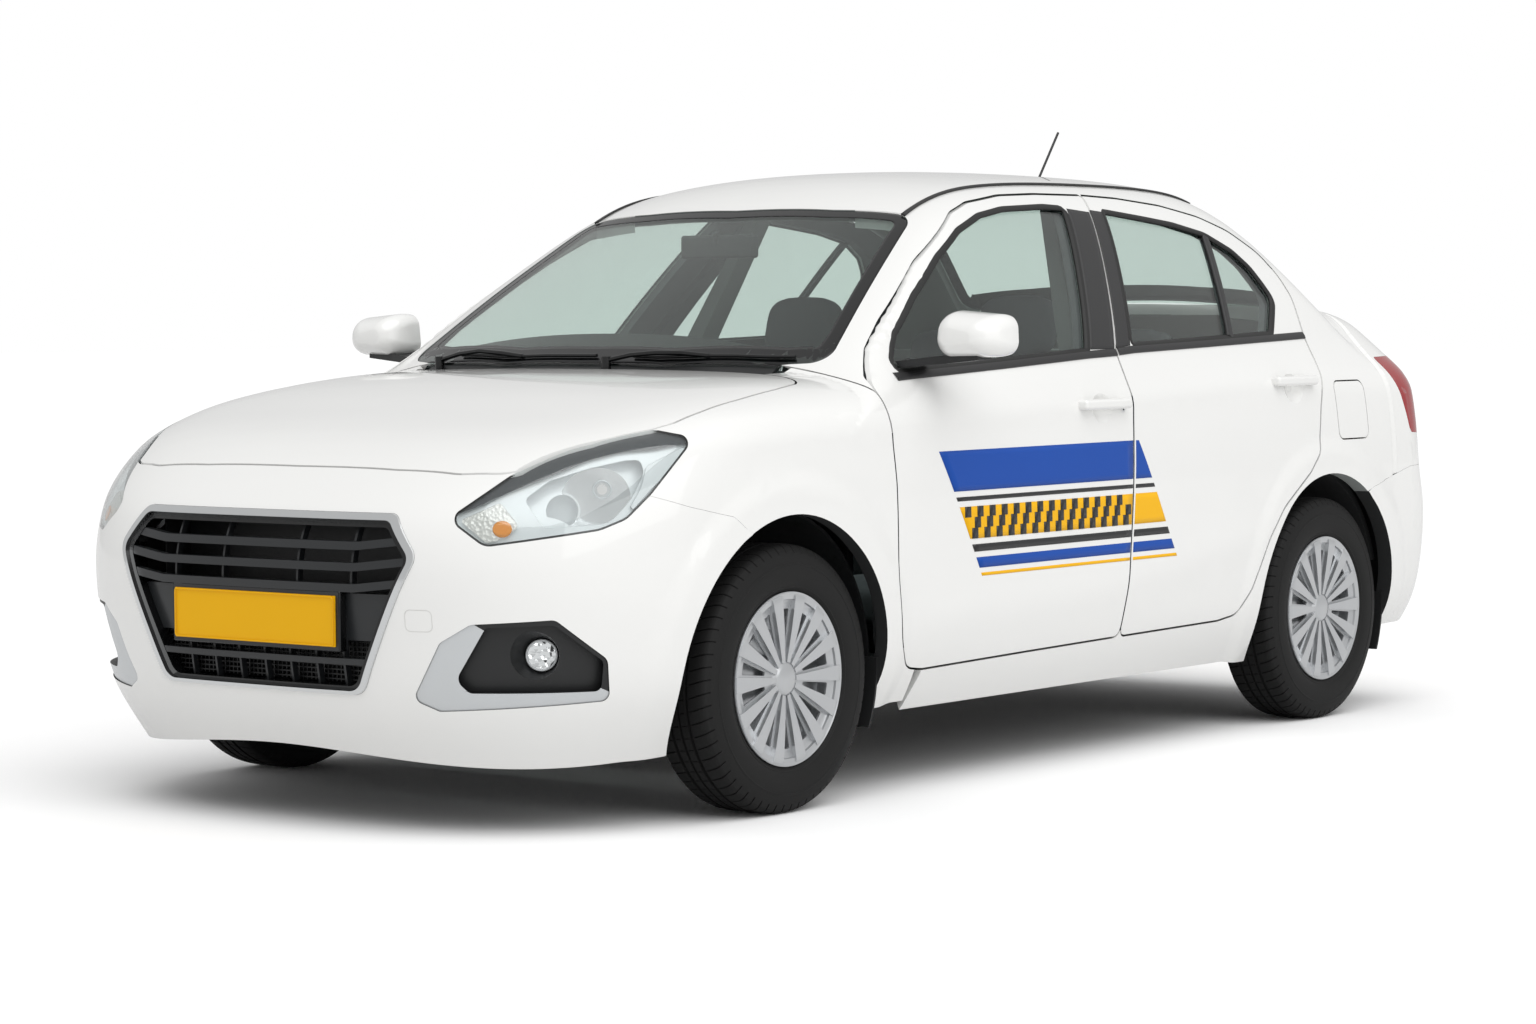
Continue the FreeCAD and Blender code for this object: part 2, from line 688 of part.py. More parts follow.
ARCH_FRONT = arch_cut(AXLE_FRONT_X)
ARCH_REAR = arch_cut(AXLE_REAR_X)
HOOD_OUTLINE = mirrored_outline(HOOD_HALF, 120.0)
SCREEN_OUTLINE = mirrored_outline(SCREEN_HALF, SCREEN_RADIUS)
REAR_SCREEN_OUTLINE = mirrored_outline(REAR_SCREEN_HALF, SCREEN_RADIUS)
ROOF_OUTLINE = (
    [(x, y, 0.0) for x, y in ((240, 0), (225, 300), (197, 528 - 30))]
    + [(x, y, 0.0) for x, y in ((-1190, 486), (-1208, 300), (-1215, 0), (-1208, -300), (-1190, -486))]
    + [(x, y, 0.0) for x, y in ((197, -498), (225, -300))])


REAR_OPENING = [
    (x - SWING_ROOM, z, r) if x < -1180 and z > BELT_SPLIT_Z else (x, z, r) for x, z, r in REAR_DOOR]


def lid_room(grow):
    """Room of the boot lid between the lamps and above the bumper."""
    w = LID_HALF_WIDTH + grow
    return box(-2100.0, LID_FRONT_X + grow, -w, w, LID_BOTTOM_Z - grow, 1300.0)


def carve(shape, tools):
    """Shape less each tool in turn."""
    for tool in tools:
        shape = shape.cut(tool)
    return shape


def body_sides():
    """Pillars, cant rails, sills and rear quarters, one closed ring a side."""
    xs = span(CORNER_X, 884.0, 84)
    angles = [math.radians(a) for a in span(-59.0, 104.0, 50)]
    side = grid_slab(section_points, xs, angles, 0.0, SIDE_WALL)
    cuts = [
        ARCH_FRONT, ARCH_REAR, lid_room(GAP), rear_bumper_room(-SEAT_GAP), side_prism(WING_REAR, GAP / 2),
        plan_prism(ROOF_OUTLINE, 1200.0, 1600.0, SEAT_GAP), side_prism(FUEL_FLAP, TIGHT_GAP, 800.0),
        plan_prism(SCREEN_OUTLINE, 800.0, 1600.0, SEAT_GAP), plan_prism(REAR_SCREEN_OUTLINE, 900.0, 1600.0, SEAT_GAP),
        side_prism(REAR_OPENING, GAP / 2), side_prism(FRONT_DOOR, GAP / 2),
        box(FLOOR_X[0] - SEAT_GAP, FLOOR_X[1] + SEAT_GAP, 500.0, FLOOR_HALF + SEAT_GAP,
            FLOOR_Z[0] - SEAT_GAP, FLOOR_Z[1] + SEAT_GAP),
        cowl_room()]
    keep("body_sides", pair(solids(carve(side, cuts))))


def rear_bumper_room(grow):
    """Room below the seam behind the rear wheel."""
    low = [(x, z - grow, 0.0) for x, z in REAR_SEAM]
    low += [(-2100.0, 100.0, 0.0), (REAR_SEAM[0][0], 100.0, 0.0)]
    return side_prism(low, 0.0, 0.0)


def front_bumper_room(grow):
    """Room below the seam ahead of the front wheel and below the bonnet."""
    low = [(x, z - grow, 0.0) for x, z in BUMPER_SEAM]
    low += [(1640.0, 900.0, 0.0), (2100.0, 900.0, 0.0), (2100.0, 100.0, 0.0), (BUMPER_SEAM[0][0], 100.0, 0.0)]
    return side_prism(low, 0.0, 0.0)


def roof_panel():
    xs = span(-1225.0, 250.0, 48)
    ys = span(-540.0, 540.0, 27)
    block = grid_slab(lambda x, y, a, b: up_points(x, y, 950.0, a, b), xs, ys, 0.0, ROOF_WALL)
    roof = block.common(plan_prism(ROOF_OUTLINE, 1200.0, 1600.0, -SEAT_GAP))
    keep("roof_panel", [roof])


def screens():
    xs = span(170.0, 885.0, 30)
    ys = span(-700.0, 700.0, 29)
    glass = grid_slab(lambda x, y, a, b: up_points(x, y, 860.0, a, b), xs, ys, SCREEN_SUNK, SCREEN_SUNK + GLASS)
    keep("windscreen", [glass.common(plan_prism(SCREEN_OUTLINE, 800.0, 1600.0))])
    xs = span(-1645.0, -1180.0, 24)
    ys = span(-600.0, 600.0, 25)
    glass = grid_slab(lambda x, y, a, b: up_points(x, y, 900.0, a, b), xs, ys, SCREEN_SUNK, SCREEN_SUNK + GLASS)
    keep("rear_screen", [glass.common(plan_prism(REAR_SCREEN_OUTLINE, 900.0, 1600.0))])


def cowl_room():
    """Space of the trim strip between bonnet and windscreen."""
    half = COWL_HALF + SEAT_GAP
    return box(700.0, 940.0, -half, half, 700.0, 1200.0)


def front_wings():
    xs = span(630.0, 1640.0, 60)
    angles = [math.radians(a) for a in span(-57.0, 60.0, 50)]
    side = grid_slab(section_points, xs, angles, 0.0, WING_WALL)
    wing = side.common(side_prism(WING_REAR, -GAP / 2 + SEAT_GAP)).cut(cowl_room())
    wing = carve(wing, [
        ARCH_FRONT, front_bumper_room(-SEAT_GAP), plan_prism(HOOD_OUTLINE, 700.0, 1200.0, GAP),
        turned_prism(LAMP_OUTLINE, 1350.0, 2300.0, SEAT_GAP), plan_prism(SCREEN_OUTLINE, 800.0, 1600.0, GAP)])
    keep("front_wings", pair(solids(wing)))


def nose_slab(near, far, turn_limit=81.0, low=-22.5, high=27.0, columns=68, rows=32):
    turns = [math.radians(a) for a in span(-turn_limit, turn_limit, columns)]
    lifts = [math.radians(a) for a in span(low, high, rows)]
    return grid_slab(lambda t, e, a, b: end_points(NOSE_ORIGIN, t, e, a, b), turns, lifts, near, far)


def front_bumper(block):
    lamp = turned_prism(LAMP_OUTLINE, 1300.0, 2400.0, SEAT_GAP)
    fog = turned_prism(FOG_OUTLINE, 1300.0, 2400.0)
    room = front_bumper_room(SEAT_GAP)
    both = room.fuse(mirror(room))
    skin = block.common(both)
    arch = arch_cut(AXLE_FRONT_X, 0.0, 0.0)
    skin = carve(skin, [
        arch, mirror(arch), lamp, mirror(lamp), fog, mirror(fog), plan_prism(HOOD_OUTLINE, 600.0, 1200.0, GAP),
        nose_prism(GRILLE_OUTLINE, 1600.0, 2200.0, SEAT_GAP)])
    keep("front_bumper", [skin])


def grille():
    """Bright two-step surround, kinked slats, ribs, plain mid band and lower bars."""
    outer = grille_slab(-GRILLE_PROUD).common(nose_prism(GRILLE_OUTLINE, 1600.0, 2200.0))
    outer = outer.cut(nose_prism(GRILLE_MID, 1600.0, 2200.0))
    inner = grille_slab(GRILLE_FLAT).common(nose_prism(GRILLE_MID, 1600.0, 2200.0, -SEAT_GAP))
    inner = inner.cut(nose_prism(GRILLE_INNER, 1600.0, 2200.0))
    keep("grille_surround", [outer, inner])
    room = nose_prism(GRILLE_INNER, 1600.0, 2200.0, -SEAT_GAP)
    face = grille_slab(SLAT_FACE, SLAT_BACK)
    pieces = []
    for z in SLAT_HEIGHTS:
        pieces.append(face.common(nose_prism(slat_outline(z), 1600.0, 2200.0)).common(room))
    low = box(1600.0, 2200.0, -500.0, 500.0, LOWER_SLAT_Z - LOWER_SLAT_HALF, LOWER_SLAT_Z + LOWER_SLAT_HALF)
    pieces.append(face.common(low).common(room))
    back = grille_slab(SLAT_BACK + SEAT_GAP).common(room)
    band = box(1600.0, 2200.0, -500.0, 500.0, BAND_LOW, BAND_TOP)
    ribs = [box(1600.0, 2200.0, y - RIB_HALF, y + RIB_HALF, BAND_TOP - 1.0, 720.0) for y in RIB_PLACES]
    for i in range(LOWER_BARS):
        y = (i - (LOWER_BARS - 1) / 2.0) * LOWER_BAR_PITCH
        ribs.append(box(1600.0, 2200.0, y - RIB_HALF, y + RIB_HALF, 300.0, BAND_LOW + 1.0))
    core = back.common(band.fuse(ribs))
    z0, z1 = PLATE_Z
    plinth = box(
        PLATE_X - PLATE_THICK - SEAT_GAP - PLINTH_DEEP, PLATE_X - PLATE_THICK - SEAT_GAP,
        -PLATE_HALF - PLINTH_EDGE, PLATE_HALF + PLINTH_EDGE, z0 - PLINTH_EDGE, z1 + PLINTH_EDGE)
    keep("grille", pieces + [core.fuse(plinth.common(box(1600.0, 2200.0, -500.0, 500.0, BAND_LOW - 21.0, 540.0)))])
    keep("front_number_plate", [box(PLATE_X - PLATE_THICK, PLATE_X, -PLATE_HALF, PLATE_HALF, z0, z1)])


def grille_slab(near, far=GRILLE_DEEP):
    return nose_slab(near, far, 36.0, -16.0, 17.0, 34, 24)


def slat_outline(z):
    """Level slat whose ends rise to the surround."""
    up = z + SLAT_HALF
    low = z - SLAT_HALF
    rise = SLAT_KINK_RISE
    far = 500.0
    k = SLAT_KINK_Y
    return (
        (-far, up + rise * 1.6, 0), (-k, up, 30), (k, up, 30), (far, up + rise * 1.6, 0),
        (far, low + rise * 1.6, 0), (k, low, 30), (-k, low, 30), (-far, low + rise * 1.6, 0))


def lamps():
    """Head lamps with brow, bezel, bowls and clear covers, fog lamps and their trims."""
    way = V(LAMP_COS, LAMP_SIN, 0)
    lid = hood_room()
    bar = turned_prism(LAMP_OUTLINE, 1300.0, 2400.0)
    outer = nose_slab(0.0, GLASS - SEAT_GAP)
    keep("headlamp_lenses", pair(solids(outer.common(bar).cut(lid))))
    inside = turned_prism(LAMP_OUTLINE, 1300.0, 2400.0, -LAMP_SEAL)
    bezel_bar = turned_prism(BEZEL_OUTLINE, 1300.0, 2400.0)
    high = nose_slab(BROW_FACE, BEZEL_BACK).common(inside)
    keep("headlamp_brows", pair(solids(high.cut(bezel_bar).cut(lid))))
    amber = turned_prism(AMBER_OUTLINE, 1300.0, 2400.0, -SEAT_GAP)
    keep("indicator_lamps", pair(solids(high.common(amber))))
    bezel = nose_slab(BEZEL_FACE, BEZEL_BACK).common(inside)
    bezel = bezel.common(turned_prism(BEZEL_OUTLINE, 1300.0, 2400.0, -SEAT_GAP))
    fin = turned_prism(FIN_OUTLINE, 1300.0, 2400.0)
    bezel = carve(bezel, [
        turned_prism(AMBER_OUTLINE, 1300.0, 2400.0), turned_prism(BOWL_OUTLINE, 1300.0, 2400.0),
        turned_prism(FIN_OUTLINE, 1300.0, 2400.0, SEAT_GAP)])
    blade = high.common(fin)
    back = nose_slab(BEZEL_BACK + SEAT_GAP, 128.0).common(bar)
    bowl = Part.makeSphere(BOWL_RADIUS, turned(*BOWL_CENTRE))
    tube_body = Part.makeCylinder(TUBE_RADIUS, 60.0, turned(TUBE_CENTRE[0], TUBE_CENTRE[1], TUBE_CENTRE[2] - 30.0), way)
    tube_hole = Part.makeCylinder(TUBE_RADIUS - 5.0, 60.0, turned(*TUBE_CENTRE), way)
    back = back.cut(bowl).fuse(tube_body).cut(tube_hole)
    edge = nose_slab(GLASS, BEZEL_BACK, columns=48, rows=24).common(bar).cut(inside)
    inner = [piece.cut(lid) for piece in (back, bezel, blade, edge)]
    keep("headlamp_housings", pair([s for piece in inner for s in solids(piece)]))
    fog_bar = turned_prism(FOG_OUTLINE, 1300.0, 2400.0, -SEAT_GAP)
    mouth = Part.Wire(Part.makeCircle(FOG_MOUTH_RADIUS, turned(*FOG_MOUTH), way))
    throat = Part.Wire(Part.makeCircle(FOG_LAMP_RADIUS, turned(*FOG_THROAT), way))
    funnel = Part.makeLoft([throat, mouth], True, True)
    bore = Part.makeCylinder(FOG_LAMP_RADIUS, 50.0, turned(FOG_THROAT[0], FOG_THROAT[1], FOG_THROAT[2] - 49.0), way)
    pocket = nose_slab(FOG_FACE, FOG_BACK, columns=48, rows=24).common(fog_bar)
    keep("fog_lamp_pockets", pair(solids(carve(pocket, [funnel, bore]))))
    glass = Part.makeCylinder(
        FOG_LAMP_RADIUS - SEAT_GAP, 34.0, turned(FOG_THROAT[0], FOG_THROAT[1], FOG_THROAT[2] - 30.0), way)
    keep("fog_lamps", pair([glass.makeFillet(3.0, glass.Edges)]))
    trim = nose_slab(3.0, FOG_FACE - SEAT_GAP, columns=48, rows=24).common(fog_bar)
    keep("fog_trims", pair(solids(trim.cut(turned_prism(FOG_HOLE, 1300.0, 2400.0)))))


def hood_reach(x):
    """Half width of the patch that the bonnet is cut from."""
    return 775.0 - 200.0 * ease((x - 1400.0) / 450.0)


def hood():
    xs = span(885.0, 1850.0, 50)
    shares = span(-1.0, 1.0, 41)
    block = grid_slab(lambda x, t, a, b: up_points(x, t * hood_reach(x), 560.0, a, b), xs, shares, 0.0, HOOD_WALL)
    keep("bonnet", [block.common(plan_prism(HOOD_OUTLINE, 600.0, 1200.0, 0.0))])


def hood_room():
    """Space that the bonnet's edge needs over the lamps."""
    xs = span(1300.0, 1850.0, 24)
    shares = span(0.2, 1.02, 18)
    block = grid_slab(
        lambda x, t, a, b: up_points(x, t * hood_reach(x), 520.0, a, b), xs, shares, -20.0, HOOD_WALL + GAP)
    return block.common(plan_prism(HOOD_OUTLINE, 600.0, 1300.0, GAP))


def lid_points(y, angle, near, deep):
    way = (math.cos(angle), 0.0, math.sin(angle))
    return skin_points((LID_FRONT_X, y, 900.0), way, 900.0, near, deep)


def boot_lid():
    ys = span(-LID_HALF_WIDTH, LID_HALF_WIDTH, 27)
    angles = [math.radians(a) for a in span(90.0, 216.0, 50)]
    block = grid_slab(lid_points, ys, angles, 0.0, LID_WALL)
    plate = box(-2000.0, -1952.0, -262.0, 262.0, 700.0, 824.0)
    keep("boot_lid", [block.cut(plate)])
    keep("rear_number_plate", [box(-1956.0, -1952.0, -250.0, 250.0, 706.0, 818.0)])


def rear_ends():
    """Rear bumper, corner panels and tail lamps, all cut from one shell."""
    turns = [math.radians(a) for a in span(96.0, 264.0, 68)]
    lifts = [math.radians(a) for a in span(-25.0, 48.0, 48)]
    block = grid_slab(lambda t, e, a, b: end_points(TAIL_ORIGIN, t, e, a, b), turns, lifts, 0.0, BUMPER_WALL)
    room = rear_bumper_room(SEAT_GAP)
    arch = arch_cut(AXLE_REAR_X, 0.0, 0.0)
    skin = block.common(room.fuse(mirror(room)))
    skin = carve(skin, [arch, mirror(arch), box(-2100.0, -1500.0, -1000.0, 1000.0, 50.0, 236.0), lid_room(GAP)])
    keep("rear_bumper", [skin])
    quarter = block.common(box(-2100.0, CORNER_X - SEAT_GAP, LID_HALF_WIDTH + GAP, 1000.0, 600.0, 1300.0))
    lamp_bar = side_prism(TAIL_LAMP)
    keep("tail_lamps", pair(solids(quarter.common(lamp_bar))))
    quarter = quarter.cut(side_prism(TAIL_LAMP, SEAT_GAP))
    quarter = quarter.cut(rear_bumper_room(-SEAT_GAP))
    keep("rear_corners", pair(solids(quarter)))


def door_patch(points):
    """Skin surface of a door, a little larger than its outline."""
    xs = span(min(p[0] for p in points) - 8.0, max(p[0] for p in points) + 8.0, 42)
    zs = span(280.0, 1450.0, 50)
    return face_through([[V(x, side_y(x, z), z) for z in zs] for x in xs])


def layer(face, near, deep, bar):
    """Part of a door between two depths below its skin, within a bar."""
    return face.translated(V(0, -near, 0)).extrude(V(0, near - deep, 0)).common(bar)


def door(points, window, bar, handle_x, handle_z):
    """Outer skin with its pull handle, set-in inner part, window frame and glass."""
    face = door_patch(points)
    hole = side_prism(window)
    skin = layer(face, 0.0, SKIN, side_prism(points, -GAP / 2)).cut(hole)
    grip, scoop = pull_handle(handle_x, handle_z)
    skin = skin.cut(scoop).fuse(grip)
    below = box(-1500.0, 900.0, 300.0, 1000.0, 200.0, BELT_SPLIT_Z)
    above = box(-1500.0, 900.0, 300.0, 1000.0, BELT_SPLIT_Z + SEAT_GAP, 1500.0)
    core = layer(face, SKIN + SEAT_GAP, DOOR_DEPTH, side_prism(points, -GAP / 2 - DOOR_INSET).common(below))
    frame = layer(face, SKIN + SEAT_GAP, FRAME_DEPTH, side_prism(points, -GAP / 2 - FRAME_INSET).common(above))
    parts = [skin, core.cut(hole), frame.cut(hole)]
    glass = layer(face, GLASS_SUNK, GLASS_SUNK + GLASS, side_prism(window, -SEAT_GAP))
    if bar:
        parts.append(layer(face, 3.0, 17.0, side_prism(window, -SEAT_GAP).common(bar)))
        glass = glass.cut(bar)
    return parts, solids(glass)


def bar_prism():
    (x0, z0), (x1, z1) = WINDOW_BAR
    w = WINDOW_BAR_WIDTH / 2
    return side_prism(((x0 - w, z0, 0), (x0 + w, z0, 0), (x1 + w, z1, 0), (x1 - w, z1, 0)))


def pull_handle(x, z):
    """Pull bar over a round scoop."""
    y = side_y(x, z)
    bar = soft_box(x - 108.0, x + 108.0, y - 6.0, y + 26.0, z - 13.0, z + 13.0, 9.0)
    room = soft_box(x - 78.0, x + 78.0, y - 14.0, y + 14.0, z - 26.0, z + 26.0, 9.0)
    scoop = Part.makeSphere(SCOOP_BALL, V(x, y + SCOOP_BALL - SCOOP_DEEP, z))
    return bar.cut(room), scoop


def doors():
    sets = (
        ("front", FRONT_DOOR, FRONT_WINDOW, None, -170.0, 902.0),
        ("rear", REAR_DOOR, REAR_WINDOW, bar_prism(), -1148.0, 943.0))
    for end, points, window, bar, x, z in sets:
        parts, glass = door(points, window, bar, x, z)
        keep("door_" + end + "_left", parts)
        keep("door_" + end + "_right", [mirror(p) for p in parts])
        keep("window_" + end + "_left", glass)
        keep("window_" + end + "_right", [mirror(g) for g in glass])


def fuel_flap():
    xs = span(-1560.0, -1350.0, 12)
    zs = span(760.0, 955.0, 12)
    grid = [[section_points(x, math.atan2(z - SECTION_Z, 400.0), 0.0, 0.0)[0] for z in zs] for x in xs]
    face = face_through(grid)
    flap = face.extrude(V(0, -12.0, 0)).common(side_prism(FUEL_FLAP, -TIGHT_GAP, 700.0))
    keep("fuel_flap", [flap])


def mirror_section(x, y0, y1, z0, z1, r):
    corners = ((y0, z0, r), (y1, z0 + 8.0, r), (y1 - 4.0, z1 - 14.0, r), (y0 + 12.0, z1, r))
    return corners, lambda y, z: V(x, y, z)


def door_mirrors():
    """Rounded shell with its glass, on a foot and a sail plate at the door's front corner."""
    wires = []
    for section in MIRROR_SECTIONS:
        corners, place = mirror_section(*section)
        wires.append(Part.Wire(outline_edges(corners, place)))
    shell = Part.makeLoft(wires, True, False)
    corners, place = mirror_section(*MIRROR_SECTIONS[0])
    shell = shell.cut(prism(corners, place, V(MIRROR_GLASS_DEEP, 0, 0), -MIRROR_RIM))
    plate = prism(corners, place, V(MIRROR_GLASS_DEEP - SEAT_GAP, 0, 0), -MIRROR_RIM - SEAT_GAP)
    xs = span(440.0, 700.0, 12)
    zs = span(985.0, 1110.0, 8)
    skin = face_through([[V(x, side_y(x, z) + SEAT_GAP, z) for z in zs] for x in xs])
    sail = skin.extrude(V(0, SAIL_THICK, 0)).common(side_prism(SAIL))
    foot = hull((
        ((505, 742, 1026), (622, 742, 1018), (622, 742, 1004), (505, 742, 1010)),
        ((515, 900, 1040), (588, 900, 1036), (588, 900, 1016), (515, 900, 1018)),
        ((520, 985, 1046), (580, 985, 1042), (580, 985, 1024), (520, 985, 1026))))
    foot = foot.cut(skin.extrude(V(0, -200.0, 0))).fuse(sail).cut(shell).cut(plate)
    pieces = [shell, plate, foot]
    keep("door_mirror_left", pieces)
    keep("door_mirror_right", [mirror(p) for p in pieces])


def tyre(cx, cy):
    """Tread, sidewalls and bead as one turned ring with grooves."""
    r = TYRE_RADIUS
    w = TYRE_HALF_WIDTH
    bead = RIM_FLANGE_RADIUS + SEAT_GAP
    pts = [
        (bead, w - 14.0), (bead + 22.0, w - 2.0), (bead + 60.0, w), (r - 30.0, w - 6.0), (r - 8.0, w - 16.0),
        (r - 2.0, w - 30.0), (r, w - 44.0)]
    half = [(a, b) for a, b in pts]
    groove = 7.0
    for g in (26.0,):
        half += [(r, g + 4.5), (r - groove, g + 3.0), (r - groove, g - 3.0), (r, g - 4.5)]
    full = half + [(a, -b) for a, b in reversed(half)]
    full = full + [(bead, -(w - 14.0))] if full[-1] != (bead, -(w - 14.0)) else full
    wire = Part.makePolygon([V(cx + 0.0, cy + b, TYRE_RADIUS + a) for a, b in full] + [V(cx, cy + full[0][1], TYRE_RADIUS + full[0][0])])
    ring = Part.Face(wire).revolve(V(cx, cy, TYRE_RADIUS), V(0, 1, 0), 360)
    return ring


def turned_ring(cx, cy, pts, out):
    """Solid turned about the wheel's axle from radius and offset pairs."""
    wire = Part.makePolygon([V(cx, cy + out * b, TYRE_RADIUS + a) for a, b in pts + [pts[0]]])
    return Part.Face(wire).revolve(V(cx, cy, TYRE_RADIUS), V(0, 1, 0), 360)


def ray_slot(angle, inner, outer, half_in, half_out, round_by):
    """Outline of a wedge along a radius of the wheel, in X and Z."""
    pts = []
    for r, side in ((inner, -half_in), (outer, -half_out), (outer, half_out), (inner, half_in)):
        px = r * math.cos(angle) - side * math.sin(angle)
        pz = r * math.sin(angle) + side * math.cos(angle)
        pts.append((px, pz, round_by))
    return pts


def wheel(cx, cy, out):
    """Pressed rim with its disc, and the many-spoked cover on its face."""
    w = TYRE_HALF_WIDTH
    rim = [
        (RIM_RADIUS, w - 20.0), (RIM_FLANGE_RADIUS, w - 12.0), (RIM_FLANGE_RADIUS, w - 8.0),
        (RIM_RADIUS - 8.0, w - 10.0), (RIM_RADIUS - 14.0, w - 30.0), (RIM_RADIUS - 22.0, -w + 30.0),
        (RIM_RADIUS - 8.0, -w + 10.0), (RIM_FLANGE_RADIUS, -w + 8.0), (RIM_FLANGE_RADIUS, -w + 12.0),
        (RIM_RADIUS, -w + 20.0)]
    disc = [
        (0.0, 40.0), (70.0, 40.0), (110.0, 22.0), (RIM_RADIUS - 16.0, 30.0), (RIM_RADIUS - 16.0, 22.0),
        (110.0, 14.0), (70.0, 30.0), (0.0, 30.0)]
    solid = turned_ring(cx, cy, rim, out).fuse(turned_ring(cx, cy, disc, out))
    dish = [
        (0.0, 74.0), (30.0, 74.0), (36.0, 71.0), (44.0, 64.0), (90.0, 64.0), (150.0, 67.0), (172.0, 69.0),
        (188.0, 76.0), (COVER_RADIUS, 81.0), (COVER_RADIUS, 77.0), (186.0, 71.0), (172.0, 64.0), (150.0, 62.0),
        (90.0, 59.0), (44.0, 57.0), (34.0, 38.0), (0.0, 38.0)]
    cap = turned_ring(cx, cy, dish, out)
    raised = [
        (38.0, 60.0), (38.0, 72.0), (70.0, 75.0), (120.0, 79.0), (160.0, 81.0), (186.0, 82.0), (193.0, 80.0),
        (193.0, 72.0), (160.0, 65.0), (90.0, 62.0)]
    band = turned_ring(cx, cy, raised, out)
    slots = []
    wedges = []
    base = cy + out * 30.0

    def place(px, pz):
        return V(cx + px, base, TYRE_RADIUS + pz)

    for i in range(SPOKES):
        turn = 2.0 * math.pi * (i + 0.5) / SPOKES
        slots.append(prism(ray_slot(turn, 72.0, 160.0, 4.0, 15.0, 3.6), place, V(0, out * 70.0, 0)))
        turn = 2.0 * math.pi * i / SPOKES
        wedges.append(prism(ray_slot(turn, 30.0, 210.0, 5.0, 20.0, 0.0), place, V(0, out * 70.0, 0)))
    spokes = band.common(Part.makeCompound(wedges))
    return solid.fuse(cap.cut(Part.makeCompound(slots))).fuse(spokes)


def wheels():
    t = tyre(AXLE_FRONT_X, TRACK_HALF)
    h = wheel(AXLE_FRONT_X, TRACK_HALF, 1.0)
    for end, x in (("front", AXLE_FRONT_X), ("rear", AXLE_REAR_X)):
        step = V(x - AXLE_FRONT_X, 0, 0)
        for side, turn in (("left", lambda s: s), ("right", mirror)):
            keep("tyre_" + end + "_" + side, [turn(t.translated(step))])
            keep("wheel_" + end + "_" + side, [turn(h.translated(step))])


